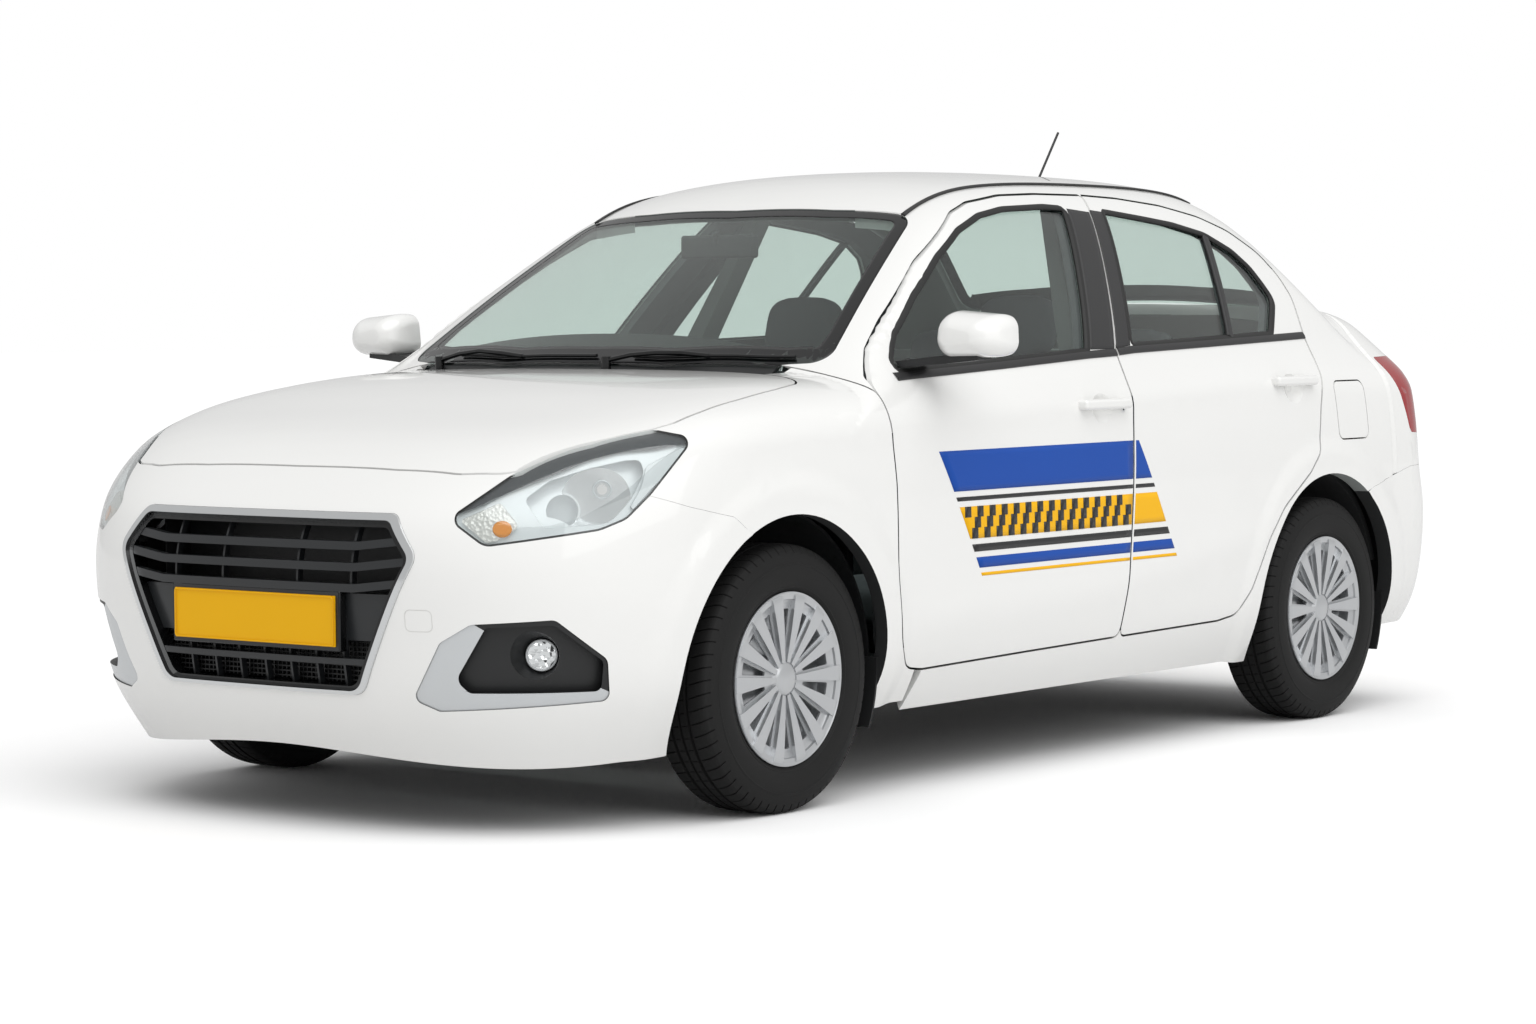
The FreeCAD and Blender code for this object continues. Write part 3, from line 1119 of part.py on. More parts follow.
def running_gear():
    """Hub carriers, arms, struts, beam axle, engine, tank and exhaust."""
    x, z = AXLE_FRONT_X, TYRE_RADIUS
    disc = Part.makeCylinder(BRAKE_RADIUS, 16.0, V(x, KINGPIN_Y + 16.0, z), V(0, 1, 0))
    hub = Part.makeCylinder(42.0, HUB_FACE_Y - KINGPIN_Y + 30.0, V(x, KINGPIN_Y - 30.0, z), V(0, 1, 0))
    upright = box(x - 30.0, x + 30.0, KINGPIN_Y - 22.0, KINGPIN_Y + 14.0, ARM_TOP_Z + 30.0, z + 110.0)
    lug = Part.makeCylinder(14.0, 40.0, V(x, KINGPIN_Y, ARM_TOP_Z + SEAT_GAP), V(0, 0, 1))
    knuckle = disc.fuse([hub, upright, lug])
    keep("knuckle_left", [knuckle])
    keep("knuckle_right", [mirror(knuckle)])
    inner = KINGPIN_Y - 100.0
    low = ARM_TOP_Z - 18.0
    arm = hull((
        ((x - 26, KINGPIN_Y, low), (x + 26, KINGPIN_Y, low), (x + 26, KINGPIN_Y, ARM_TOP_Z),
         (x - 26, KINGPIN_Y, ARM_TOP_Z)),
        ((x - 34, inner, low), (x + 34, inner, low), (x + 34, inner, ARM_TOP_Z), (x - 34, inner, ARM_TOP_Z)),
        ((x - 190, 370, 204), (x + 60, 370, 204), (x + 60, 370, 228), (x - 190, 370, 228))))
    joint = Part.makeCylinder(26.0, 18.0, V(x, KINGPIN_Y, low), V(0, 0, 1))
    strut = Part.makeCylinder(24.0, 640.0, V(x, STRUT_Y, ARM_TOP_Z - 2.0), V(0, 0, 1))
    spring = Part.makeCylinder(52.0, 180.0, V(x, STRUT_Y, 600.0), V(0, 0, 1))
    strut = strut.fuse(spring).common(box(x - 60, x + 60, 300.0, 700.0, 0.0, TOWER_Z[0] - SEAT_GAP))
    cross = box(x - 210.0, x + 80.0, -CROSS_HALF, CROSS_HALF, CROSS_Z[0], CROSS_Z[1])
    side = arm.fuse([joint, strut])
    keep("front_suspension", [cross.fuse([side, mirror(side)])])
    xr = AXLE_REAR_X
    beam = box(xr + 90.0, xr + 170.0, -580.0, 580.0, 250.0, 320.0)
    arm_top = FLOOR_Z[0] - SEAT_GAP
    trail = hull((
        ((xr - 40, 560, 270), (xr - 40, 600, 270), (xr - 40, 600, 340), (xr - 40, 560, 340)),
        ((xr + 390, 510, 196), (xr + 390, 550, 196), (xr + 390, 550, arm_top), (xr + 390, 510, arm_top)),
        ((xr + 520, 500, 196), (xr + 520, 540, 196), (xr + 520, 540, arm_top), (xr + 520, 500, arm_top))))
    stub = Part.makeCylinder(110.0, 30.0, V(xr, 672.0, z), V(0, 1, 0))
    spindle = Part.makeCylinder(36.0, HUB_FACE_Y - 575.0, V(xr, 575.0, z), V(0, 1, 0))
    coil = Part.makeCylinder(54.0, BOOT_FLOOR_Z[0] - SEAT_GAP - 310.0, V(xr + 130.0, 470.0, 310.0), V(0, 0, 1))
    parts = [trail, stub, spindle, coil]
    axle = beam.fuse(parts + [mirror(p) for p in parts])
    keep("rear_axle", [axle])
    block = soft_box(1230.0, 1660.0, -330.0, 330.0, 300.0, 830.0, 18.0)
    mounts = [box(1400.0, 1480.0, 300.0, RAIL_Y[0] - SEAT_GAP, 440.0, 500.0)]
    keep("engine", [block.fuse(mounts + [mirror(m) for m in mounts])])
    top = SEAT_PAN_TOP - SEAT_PAN_THICK - SEAT_GAP
    keep("fuel_tank", [soft_box(-1020.0, -560.0, -420.0, 420.0, 204.0, top, 24.0)])
    pipe = tube((
        (1230.0 - SEAT_GAP, -180, 345), (880, -180, 345), (770, -130, 212), (300, -60, 212), (-500, -465, 212),
        (-1100, -465, 210), (-1560, -500, 214)), 22.0)
    box_end = Part.makeCylinder(80.0, 360.0, V(-1500.0, -520.0, 268.0), V(-1, 0, 0))
    tail_pipe = tube(((-1840, -520, 222), (-1950, -520, 190)), 22.0)
    hangers = [
        Part.makeCylinder(8.0, FLOOR_Z[0] - SEAT_GAP - 225.0, V(300.0, -60.0, 225.0), V(0, 0, 1)),
        Part.makeCylinder(8.0, BOOT_FLOOR_Z[0] - SEAT_GAP - 330.0, V(-1680.0, -520.0, 330.0), V(0, 0, 1))]
    keep("exhaust", [pipe.fuse([box_end, tail_pipe] + hangers)])


def wheel_house():
    """Inner wall and roof of the room of one rear wheel."""
    outer = arch_cut(AXLE_REAR_X, 24.0, 560.0, 800.0)
    hole = arch_cut(AXLE_REAR_X, 4.0, 584.0, 1000.0)
    half = box(AXLE_REAR_X - 500.0, AXLE_REAR_X + 500.0, 500.0, 1000.0, 420.0, 900.0)
    return outer.cut(hole).common(half)


def grown(extents, by):
    """Extents of a box, wider on every side."""
    x0, x1, y0, y1, z0, z1 = extents
    return (x0 - by, x1 + by, y0 - by, y1 + by, z0 - by, z1 + by)


def seated(boxes, shapes):
    """Boxes and shapes as separate solids, each cut back from the boxes before it."""
    out = []
    for i, extents in enumerate(boxes):
        piece = box(*extents)
        for other in boxes[:i]:
            piece = piece.cut(box(*grown(other, SEAT_GAP)))
        out += solids(piece)
    for shape in shapes:
        for other in boxes:
            shape = shape.cut(box(*grown(other, SEAT_GAP)))
        out += solids(shape)
    return out


def both_sides(extents):
    """Extents of a box and of its mirror image."""
    x0, x1, y0, y1, z0, z1 = extents
    return [extents, (x0, x1, -y1, -y0, z0, z1)]


def floor_members():
    """Plain plates and beams of the floor, each as extents along X, Y and Z."""
    z0, z1 = FLOOR_Z
    p0, p1 = SEAT_PAN_X
    w0, w1 = TOWER_WALL_Y
    under = SEAT_PAN_TOP - SEAT_PAN_THICK
    pan_half = 620.0
    tank_half = 440.0
    wall = 20.0
    mid = AXLE_FRONT_X
    out = [
        (p1 - wall, TOE_X, -FLOOR_HALF, FLOOR_HALF, z0, z1),
        (TOE_X, FLOOR_X[1], -TOE_HALF, TOE_HALF, z0, z1),
        (p1 - wall, p1, -pan_half, pan_half, z1, under),
        (p0, p1, -pan_half, pan_half, under, SEAT_PAN_TOP),
        (p1, 690.0, -110.0, 110.0, z1, 380.0),
        (690.0, 712.0, -700.0, 700.0, z1, 920.0),
        (p0 - BACK_SHIFT, p0, -pan_half, pan_half, under, BOOT_FLOOR_Z[1]),
        (-1912.0, p0 - 30.0, -590.0, 590.0, BOOT_FLOOR_Z[0], BOOT_FLOOR_Z[1]),
        (-1922.0, -1900.0, -590.0, 590.0, BOOT_FLOOR_Z[1], 640.0),
        (-1636.0, -1230.0, -640.0, 640.0, 1000.0, 1024.0),
        (1740.0, 1800.0, -390.0, 390.0, 280.0, 700.0),
        (1740.0, 1770.0, -390.0, 390.0, 700.0, 740.0)]
    out += both_sides((FLOOR_X[0], p1 - wall, tank_half, FLOOR_HALF, z0, z1))
    out += both_sides((700.0, 1700.0, RAIL_Y[0], RAIL_Y[1], RAIL_Z[0], RAIL_Z[1]))
    out += both_sides((mid - 130.0, mid + 20.0, RAIL_Y[0], RAIL_Y[1], CROSS_Z[1] + SEAT_GAP, RAIL_Z[0]))
    out += both_sides((mid - 90.0, mid + 90.0, w0, w1, RAIL_Z[1], TOWER_Z[0]))
    out += both_sides((mid - 90.0, mid + 90.0, w0, STRUT_Y + 80.0, TOWER_Z[0], TOWER_Z[1]))
    return out


def underbody():
    """Floor, seat pan, bulkheads, rails, towers, shelf and inner wheel houses."""
    p0 = SEAT_PAN_X[0] - BACK_SHIFT - 14.0
    low = BOOT_FLOOR_Z[1] + SEAT_GAP
    w1 = TOWER_WALL_Y[1]
    back = hull((
        ((p0, -559, low), (p0, 559, low), (p0 - 30, 559, low), (p0 - 30, -559, low)),
        ((-1290, -559, 1010), (-1290, 559, 1010), (-1320, 559, 1010), (-1320, -559, 1010))))
    post = hull((
        ((-300, 640, 250), (-380, 640, 250), (-380, 716, 250), (-300, 716, 250)),
        ((-330, 620, 1000), (-410, 620, 1000), (-410, 676, 1000), (-330, 676, 1000)),
        ((-470, 458, 1440), (-530, 458, 1440), (-530, 498, 1440), (-470, 498, 1440))))
    house = wheel_house()
    keep("body_floor", seated(floor_members(), [back, house, mirror(house), post, mirror(post)]))
    outer = arch_cut(AXLE_FRONT_X, 10.0, w1 + SEAT_GAP, 800.0)
    hole = arch_cut(AXLE_FRONT_X, 4.0, w1 + 6.0, 1000.0)
    half = box(600.0, AXLE_FRONT_X, 400.0, 1000.0, 300.0, 900.0)
    half = half.fuse(box(AXLE_FRONT_X, 1600.0, 400.0, LINER_FRONT_Y, 300.0, 900.0))
    slot = Part.makeCylinder(64.0, 900.0, V(AXLE_FRONT_X, STRUT_Y, 300.0))
    gate = box(AXLE_FRONT_X - 210.0, AXLE_FRONT_X + 90.0, 400.0, 500.0, 200.0, 330.0)
    keep("arch_liners", pair(solids(carve(outer.cut(hole).common(half), [slot, gate]))))
    flaps = []
    for axle in (AXLE_FRONT_X, AXLE_REAR_X):
        ring = arch_cut(axle, -SEAT_GAP, 690.0, 832.0).cut(arch_cut(axle, -SEAT_GAP - 6.0, 600.0, 900.0))
        flaps.append(ring.common(box(axle - 500.0, axle, 600.0, 900.0, 168.0, 330.0)))
    keep("mud_flaps", pair(flaps))


def front_seat(y):
    """Cushion on its base, backrest and head rest on two rods."""
    cushion = soft_box(-330.0, 150.0, y - 240.0, y + 240.0, 310.0, 450.0, 40.0)
    base = box(-280.0, 100.0, y - 200.0, y + 200.0, FLOOR_Z[1] + SEAT_GAP, 340.0)
    lean = soft_box(-60.0, 60.0, y - 230.0, y + 230.0, 0.0, 580.0, 40.0)
    rest = soft_box(-36.0, 46.0, y - 125.0, y + 125.0, 602.0, 780.0, 30.0)
    rods = [Part.makeCylinder(7.0, 80.0, V(5.0, y + d, 560.0), V(0, 0, 1)) for d in (-55.0, 55.0)]
    upper = lean.fuse([rest] + rods)
    upper.rotate(V(0, 0, 0), V(0, 1, 0), SEAT_TILT)
    upper.translate(V(-330.0, 0.0, 430.0))
    return cushion.fuse([base, upper])


def rear_bench():
    """Cushion, backrest and two low head rests."""
    cushion = soft_box(-1040.0, -640.0, -600.0, 600.0, SEAT_PAN_TOP + SEAT_GAP, 500.0, 40.0)
    lean = soft_box(-60.0, 60.0, -590.0, 590.0, 0.0, 560.0, 40.0)
    rests = []
    for y in (-330.0, 330.0):
        rests.append(soft_box(-40.0, 40.0, y - 125.0, y + 125.0, 540.0, 680.0, 26.0))
    upper = lean.fuse(rests)
    upper.rotate(V(0, 0, 0), V(0, 1, 0), SEAT_TILT)
    upper.translate(V(-994.0, 0.0, 440.0))
    return cushion.fuse(upper)


def steering():
    """Steering wheel with its column, and the shroud that the column runs into."""
    centre = V(*COLUMN_CENTRE)
    tilt = math.radians(COLUMN_TILT)
    axis = V(-math.cos(tilt), 0.0, math.sin(tilt))
    rim = Part.makeTorus(178.0, 15.0, centre, axis)
    boss = Part.makeCylinder(62.0, 44.0, centre - axis * 22.0, axis)
    end = COLUMN_END - SEAT_GAP
    column = Part.makeCylinder(24.0, end - 10.0, centre - axis * end, axis)
    spokes = []
    up = V(0, 1, 0)
    side = up.cross(axis)
    for a in (0.0, 180.0, 270.0):
        way = up * math.cos(math.radians(a)) + side * math.sin(math.radians(a))
        spokes.append(Part.makeCylinder(14.0, 170.0, centre, way))
    shroud = Part.makeCylinder(42.0, 120.0, centre - axis * (COLUMN_END + 120.0), axis)
    return rim.fuse([boss, column] + spokes), shroud


def screen_edge(y):
    """Front edge of the windscreen at a place across the car."""
    y = abs(y)
    pts = SCREEN_HALF
    for (x0, y0), (x1, y1) in zip(pts[:3], pts[1:4]):
        if y <= y1:
            return x0 + (x1 - x0) * (y - y0) / (y1 - y0)
    return pts[3][0]


def glass_point(x, y, above):
    """Point over the windscreen's outer face, by a distance square to it."""
    here = roof_height(x, y) - SCREEN_SUNK
    slope = (roof_height(x + 5.0, y) - roof_height(x - 5.0, y)) / 10.0
    return (x, y, here + above * math.sqrt(1.0 + slope * slope))


def wiper(pivot_y, tip_y):
    """Blade on the glass, and the arm that carries it from a pivot on the cowl."""
    way = 1.0 if tip_y > pivot_y else -1.0
    near = pivot_y + way * 60.0
    blade = []
    for y in span(near, tip_y, 7):
        blade.append(glass_point(screen_edge(y) - 18.0, y, BLADE_RADIUS + 1.6))
    middle = pivot_y + 0.55 * (tip_y - pivot_y)
    arm = []
    for t in span(0.0, 1.0, 5):
        y = pivot_y + t * (middle - pivot_y)
        x = screen_edge(y) + 15.0 - 33.0 * t
        arm.append(glass_point(x, y, 14.0 + 14.0 * math.sin(math.pi * t) - 8.0 * t))
    hub = Part.makeCylinder(12.0, 60.0, V(arm[0][0], arm[0][1], arm[0][2] - 50.0), V(0, 0, 1))
    return tube(blade, BLADE_RADIUS), tube(arm, 6.0).fuse(hub)


def cabin():
    """Seats, dashboard, steering wheel, mirror, wipers and cowl."""
    keep("front_seats", [front_seat(-360.0), front_seat(360.0)])
    room = arch_cut(AXLE_REAR_X, 24.0 + BENCH_ROOM, 560.0 - BENCH_ROOM, 800.0)
    keep("rear_seat", [carve(rear_bench(), [room, mirror(room)])])
    wheel_piece, shroud = steering()
    keep("steering_wheel", [wheel_piece])
    dash = hull((
        ((560, -700, 700), (689.7, -700, 700), (689.7, -700, 950), (600, -700, 950), (480, -700, 900)),
        ((560, 700, 700), (689.7, 700, 700), (689.7, 700, 950), (600, 700, 950), (480, 700, 900))))
    hood_piece = hull((
        ((440, -520, 890), (560, -520, 925), (560, -200, 925), (440, -200, 890)),
        ((452, -500, 960), (560, -500, 985), (560, -220, 985), (452, -220, 960))))
    keep("dashboard", [dash.fuse([hood_piece, shroud.common(box(400.0, 640.0, -500.0, -200.0, 600.0, 900.0))])])
    inner = SCREEN_SUNK + GLASS + SEAT_GAP
    above = grid_slab(
        lambda x, y, a, b: up_points(x, y, 900.0, a, b), span(250.0, 400.0, 8), span(-40.0, 40.0, 5), -90.0, inner)
    stalk = Part.makeCylinder(9.0, 90.0, V(316.0, 0.0, 1310.0), V(0.35, 0, 1)).cut(above)
    mirror_box = soft_box(300.0, 326.0, -120.0, 120.0, 1278.0, 1338.0, 8.0)
    keep("interior_mirror", [mirror_box.fuse(stalk)])
    xs = span(745.0, 925.0, 14)
    ys = span(-COWL_HALF, COWL_HALF, 27)
    plate = grid_slab(lambda x, y, a, b: up_points(x, y, 800.0, a, b), xs, ys, inner + 1.5, inner + 10.5)
    keep("cowl_panel", [plate.cut(plan_prism(HOOD_OUTLINE, 700.0, 1200.0, GAP))])
    sweeps = []
    for pivot_y, tip_y in WIPERS:
        sweeps += list(wiper(pivot_y, tip_y))
    sweeps = [s.cut(plate) for s in sweeps]
    keep("wipers", sweeps)
    root = V(AERIAL_X, 0.0, roof_height(AERIAL_X, 0.0) - 12.0)
    top = V(AERIAL_X - AERIAL_BACK, 0.0, roof_height(AERIAL_X, 0.0) + AERIAL_RISE)
    rod = Part.makeCylinder(3.5, (top - root).Length, root, top - root)
    foot = Part.makeCone(20.0, 8.0, 34.0, root, V(-0.5, 0, 1))
    patch = grid_slab(
        lambda x, y, a, b: up_points(x, y, 950.0, a, b), span(AERIAL_X - 60, AERIAL_X + 60, 7), span(-50, 50, 5),
        -SEAT_GAP, 60.0)
    keep("aerial", [rod.fuse(foot).cut(patch)])


def main():
    body_sides()
    roof_panel()
    screens()
    front_wings()
    block = nose_slab(0.0, BUMPER_WALL)
    front_bumper(block)
    grille()
    lamps()
    hood()
    boot_lid()
    rear_ends()
    doors()
    door_mirrors()
    fuel_flap()
    wheels()
    running_gear()
    underbody()
    cabin()


main()
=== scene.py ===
# %% [markdown]
# # A small white taxi, dressed over its CAD frame
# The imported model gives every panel, wheel and seat at its true size. This notebook keeps
# those shapes, gives them true surface normals and finishes, and adds what is too fine for
# construction: rubber seals, tyre tread, lamp reflectors, cloth, stitching and studio light.

# %% Load the frame
import bpy
import json
import math
import numpy as np
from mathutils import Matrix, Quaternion, Vector

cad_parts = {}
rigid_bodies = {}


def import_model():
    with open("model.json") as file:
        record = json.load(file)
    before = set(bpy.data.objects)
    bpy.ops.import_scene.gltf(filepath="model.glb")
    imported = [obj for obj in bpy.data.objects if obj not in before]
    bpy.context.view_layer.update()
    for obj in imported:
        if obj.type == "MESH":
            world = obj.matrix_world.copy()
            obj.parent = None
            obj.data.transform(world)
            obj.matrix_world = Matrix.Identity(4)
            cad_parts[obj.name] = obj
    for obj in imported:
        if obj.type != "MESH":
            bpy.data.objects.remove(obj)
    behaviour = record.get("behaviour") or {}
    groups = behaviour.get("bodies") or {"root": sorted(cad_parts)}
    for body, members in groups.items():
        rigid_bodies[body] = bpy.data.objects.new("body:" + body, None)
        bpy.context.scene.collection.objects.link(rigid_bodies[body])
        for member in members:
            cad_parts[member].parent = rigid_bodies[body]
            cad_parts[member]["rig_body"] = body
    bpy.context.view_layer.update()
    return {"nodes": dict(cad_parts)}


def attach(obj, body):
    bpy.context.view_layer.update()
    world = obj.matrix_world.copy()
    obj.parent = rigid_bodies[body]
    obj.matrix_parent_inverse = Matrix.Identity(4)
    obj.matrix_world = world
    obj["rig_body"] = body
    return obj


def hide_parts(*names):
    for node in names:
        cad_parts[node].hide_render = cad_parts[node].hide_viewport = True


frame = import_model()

MM = 0.001

# %% [markdown]
# ## The body's form as a function
# A car body is one flowing skin that panels are cut from. Here that skin is a formula: smooth
# curves through stations give its half width, nose, tail, bonnet and roof, and a rounded
# power blend joins side and top. Every seal and trim strip below is laid on this same skin,
# so it follows each panel exactly. All lengths inside the formula are in millimetres.

# %% Smooth curves through stations
class Curve:
    """Natural cubic through stations: second slopes come from one linear system."""

    def __init__(self, *stations):
        """Solves for the second slopes that keep the first slope even at each station."""
        self.x, self.y = np.array(sorted(stations), float).T
        h = np.diff(self.x)
        n = len(self.x)
        i = np.arange(1, n - 1)
        system = np.eye(n)
        system[i, i - 1], system[i, i], system[i, i + 1] = h[:-1] / 6, (h[:-1] + h[1:]) / 3, h[1:] / 6
        right = np.zeros(n)
        right[i] = np.diff(np.diff(self.y) / h)
        self.m = np.linalg.solve(system, right)

    def __call__(self, t):
        """A line between two stations plus a cubic bend, and a straight line past the ends."""
        t = np.asarray(t, float)
        i = np.clip(np.searchsorted(self.x, t) - 1, 0, len(self.x) - 2)
        h = self.x[i + 1] - self.x[i]
        inside = np.clip(t, self.x[0], self.x[-1])
        a, b = (self.x[i + 1] - inside) / h, (inside - self.x[i]) / h
        bend = ((a ** 3 - a) * self.m[i] + (b ** 3 - b) * self.m[i + 1]) * h * h / 6
        slope = (self.y[i + 1] - self.y[i]) / h
        slope = slope - (3 * a * a - 1) / 6 * h * self.m[i] + (3 * b * b - 1) / 6 * h * self.m[i + 1]
        return a * self.y[i] + b * self.y[i + 1] + bend + slope * (t - inside)


# Half width by height, then nose and tail by height, then bonnet, boot deck and roof by length.
side_profile = Curve(
    (180, 780), (240, 812), (300, 838), (400, 858), (520, 867), (640, 867.5), (760, 863), (860, 853),
    (940, 838), (1010, 815), (1100, 776), (1200, 723), (1300, 664), (1400, 600), (1520, 520))
nose_profile = Curve(
    (180, 1915), (260, 1955), (330, 1975), (420, 1987), (520, 1996), (580, 1996), (640, 1985),
    (720, 1950), (780, 1900), (840, 1845), (920, 1800), (1020, 1770), (1200, 1740), (1600, 1700))
tail_profile = Curve(
    (180, -1930), (260, -1962), (330, -1980), (420, -1993), (520, -1997), (600, -1990), (660, -1974),
    (760, -1964), (900, -1958), (980, -1952), (1050, -1940), (1130, -1915), (1600, -1850))
hood_profile = Curve(
    (850, 1008), (1000, 1002), (1180, 985), (1350, 957), (1500, 922), (1650, 886), (1780, 845),
    (1860, 808), (1950, 750))
deck_profile = Curve(
    (-1500, 1158), (-1600, 1156), (-1700, 1150), (-1800, 1135), (-1880, 1106), (-1940, 1062),
    (-2020, 960))
roof_profile = Curve(
    (1000, 935), (890, 1005), (700, 1127), (500, 1252), (300, 1368), (200, 1422), (100, 1462),
    (0, 1487), (-150, 1505), (-350, 1514), (-560, 1516), (-800, 1514), (-1000, 1505), (-1150, 1483),
    (-1250, 1450), (-1350, 1393), (-1500, 1274), (-1650, 1150), (-1750, 1065), (-1850, 980))
# Height of the shoulder crease and of the low door crease, by length.
shoulder_line = Curve((-1900, 968), (-1150, 948), (-150, 905), (900, 868))
door_line = Curve((-1000, 560), (-400, 460), (300, 415), (800, 400))
AXLES = (1132.5, -1317.5)
TRACK = 765.0
TYRE_R = 308.0
TAIL_START = -1450.0
LOWER_ROOT, UPPER_ROOT = 500.0, 850.0
BLEND = 0.003
print("wheelbase", AXLES[0] - AXLES[1], "track", 2 * TRACK)

# %% A soft step
def ease(t):
    """Soft step from nought to one: three t squared less two t cubed."""
    t = np.clip(t, 0.0, 1.0)
    return t * t * (3 - 2 * t)


print("soft step at a quarter:", float(ease(0.25)))


# %% Width and height of the skin
def half_width(x, z):
    """Side profile plus arch flares and two soft creases, drawn in towards the ends of the cabin."""
    arch = np.maximum(*[ease((444 - np.hypot(x - a - 6, z - 318)) / 60 + 0.5) for a in AXLES])
    up, low = (z - shoulder_line(x)) / 34, (z - door_line(x)) / 60
    share = ease((x + 1150) / 300) * ease((820 - x) / 300)
    base = side_profile(z) + 8 * arch + 4 * np.exp(-up * up) + share * 5 * np.exp(-low * low)
    taper = np.where(x > -250, 8.3e-8, 3.65e-8) * (x + 250) ** 2
    return base * (1 - ease((z - 900) / 180) * taper)


def crowned(profile, x, y, drop, at):
    """Centre line height less a power of the distance from it."""
    return profile(x) - drop * (np.abs(y) / at) ** 2.3


def roof_height(x, y):
    """Roof and screens: 58 mm lower at 600 mm from the centre line."""
    return crowned(roof_profile, x, y, 58, 600)


print("half width at the shoulder:", round(float(half_width(0.0, 905.0)), 1))


# %% The skin as one signed function
def rounded(u, v, power):
    """Power norm: a box of two ratios with a rounded corner."""
    return (np.abs(u) ** power + np.abs(v) ** power) ** (1 / power)


def body_form(p):
    """Below nought inside the skin, nought on it; wings and doors, then cabin, softly joined."""
    x, y, z = p[..., 0], p[..., 1], p[..., 2]
    width = np.abs(y) / half_width(x, z)
    nose = np.maximum(0, (x - AXLES[0]) / (nose_profile(z) - AXLES[0]))
    tail = np.maximum(0, (x - TAIL_START) / (tail_profile(z) - TAIL_START))
    behind = np.where(x < TAIL_START, rounded(width, tail, 8.0), width)
    u = np.where(x > AXLES[0], rounded(width, nose, 3.1), behind)
    top = np.where(x > 0, crowned(hood_profile, x, y, 16, 700), crowned(deck_profile, x, y, 8, 700))
    rise = np.maximum(0, (z - LOWER_ROOT) / np.maximum(50, top - LOWER_ROOT))
    lower = rounded(u, rise, 12) - 1
    rise = np.maximum(0, (z - UPPER_ROOT) / np.maximum(20, roof_height(x, y) - UPPER_ROOT))
    upper = rounded(width, rise, 16) - 1
    upper = np.where((x > 900) | (x < -1800), 9.0, upper)
    near = np.maximum(0, BLEND - np.abs(lower - upper)) / BLEND
    return np.minimum(lower, upper) - near * near * BLEND / 4


print("inside and outside:", body_form(np.array([[0.0, 0, 800], [0, 0, 2000]])).round(2))

# %% [markdown]
# Pieces are laid on this skin, so three helpers measure it: its slope, the doors' distance
# from the middle, and the point where any line comes out through it.

# %% Slope and reach of the skin
def gradient(p, step=0.5):
    """Outward slope of the form by small steps along each axis."""
    return np.stack([(body_form(p + d) - body_form(p - d)) / (2 * step) for d in np.eye(3) * step], -1)


def side_y(x, z):
    """Distance of the doors' skin from the centre line, solved by four repeats."""
    full = half_width(x, z)
    y = full
    for _ in range(4):
        v = np.clip((z - UPPER_ROOT) / np.maximum(20, roof_height(x, y) - UPPER_ROOT), 0, 0.985)
        y = full * (1 - v ** 16) ** (1 / 16)
    return y


def reach_skin(point_at, shape, inside, outside, rounds=28):
    """Distance at which a line meets the skin, by halving between an inner and an outer one.
    point_at turns an array of distances into points."""
    low, high = np.full(shape, inside), np.full(shape, outside)
    for _ in range(rounds):
        mid = (low + high) / 2
        out = body_form(point_at(mid)) > 0
        low, high = np.where(out, low, mid), np.where(out, mid, high)
    return low


print("door skin at 700 mm height:", round(float(side_y(np.array(0.0), np.array(700.0))), 1))

# %% [markdown]
# ## Helpers for meshes
# Shapes are grids of points worked out as whole arrays. One function turns a grid into a mesh,
# another copies a CAD node, merges its loose triangles and gives each corner the true normal
# of the formula, so that long reflections run clean across panels.

# %% Grids to meshes
def link(name, mesh, body, material, smooth=True):
    """New object on a body, with one material or a list of them."""
    obj = bpy.data.objects.new(name, mesh)
    bpy.context.scene.collection.objects.link(obj)
    for m in material if isinstance(material, (list, tuple)) else [material]:
        mesh.materials.append(m)
    if smooth:
        mesh.polygons.foreach_set("use_smooth", np.ones(len(mesh.polygons), bool))
    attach(obj, body)
    return obj


def grid_faces(rows, columns, close_rows=False, close_columns=False):
    """Quads between neighbouring rows and columns, wrapped round where closed."""
    i = np.arange(rows if close_rows else rows - 1)[:, None]
    j = np.arange(columns if close_columns else columns - 1)[None, :]
    i2, j2 = (i + 1) % rows, (j + 1) % columns
    quads = np.stack([i * columns + j, i * columns + j2, i2 * columns + j2, i2 * columns + j], -1)
    return quads.reshape(-1, 4)


def mesh_of(name, points, faces):
    """Mesh from an array of points in metres and an array of faces."""
    mesh = bpy.data.meshes.new(name)
    mesh.from_pydata(points.reshape(-1, 3), [], faces.tolist())
    mesh.update()
    return mesh


def sheet_mesh(name, points, close_rows=False, close_columns=False, flip=False):
    """Mesh from a grid of points in millimetres, turned over where flip is set."""
    rows, columns = points.shape[:2]
    faces = grid_faces(rows, columns, close_rows, close_columns)
    return mesh_of(name, points * MM, faces[:, ::-1] if flip else faces)


def thicken(obj, mm, offset=-1.0):
    """Solidify by a real thickness, inward by default."""
    mod = obj.modifiers.new("wall", "SOLIDIFY")
    mod.thickness = mm * MM
    mod.offset = offset
    mod.use_even_offset = False
    return obj


def mirrored(points):
    """The same points on the car's right side."""
    return points * np.array([1.0, -1.0, 1.0])


print("a grid of 3 by 3 points has", len(grid_faces(3, 3)), "faces")

# %% [markdown]
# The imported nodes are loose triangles. A copy is merged to one skin before it gets its normals,
# because a corner can only be smooth where its triangles share a point.

# %% Copies of CAD nodes with true normals
MERGE_STEP = 2e-6


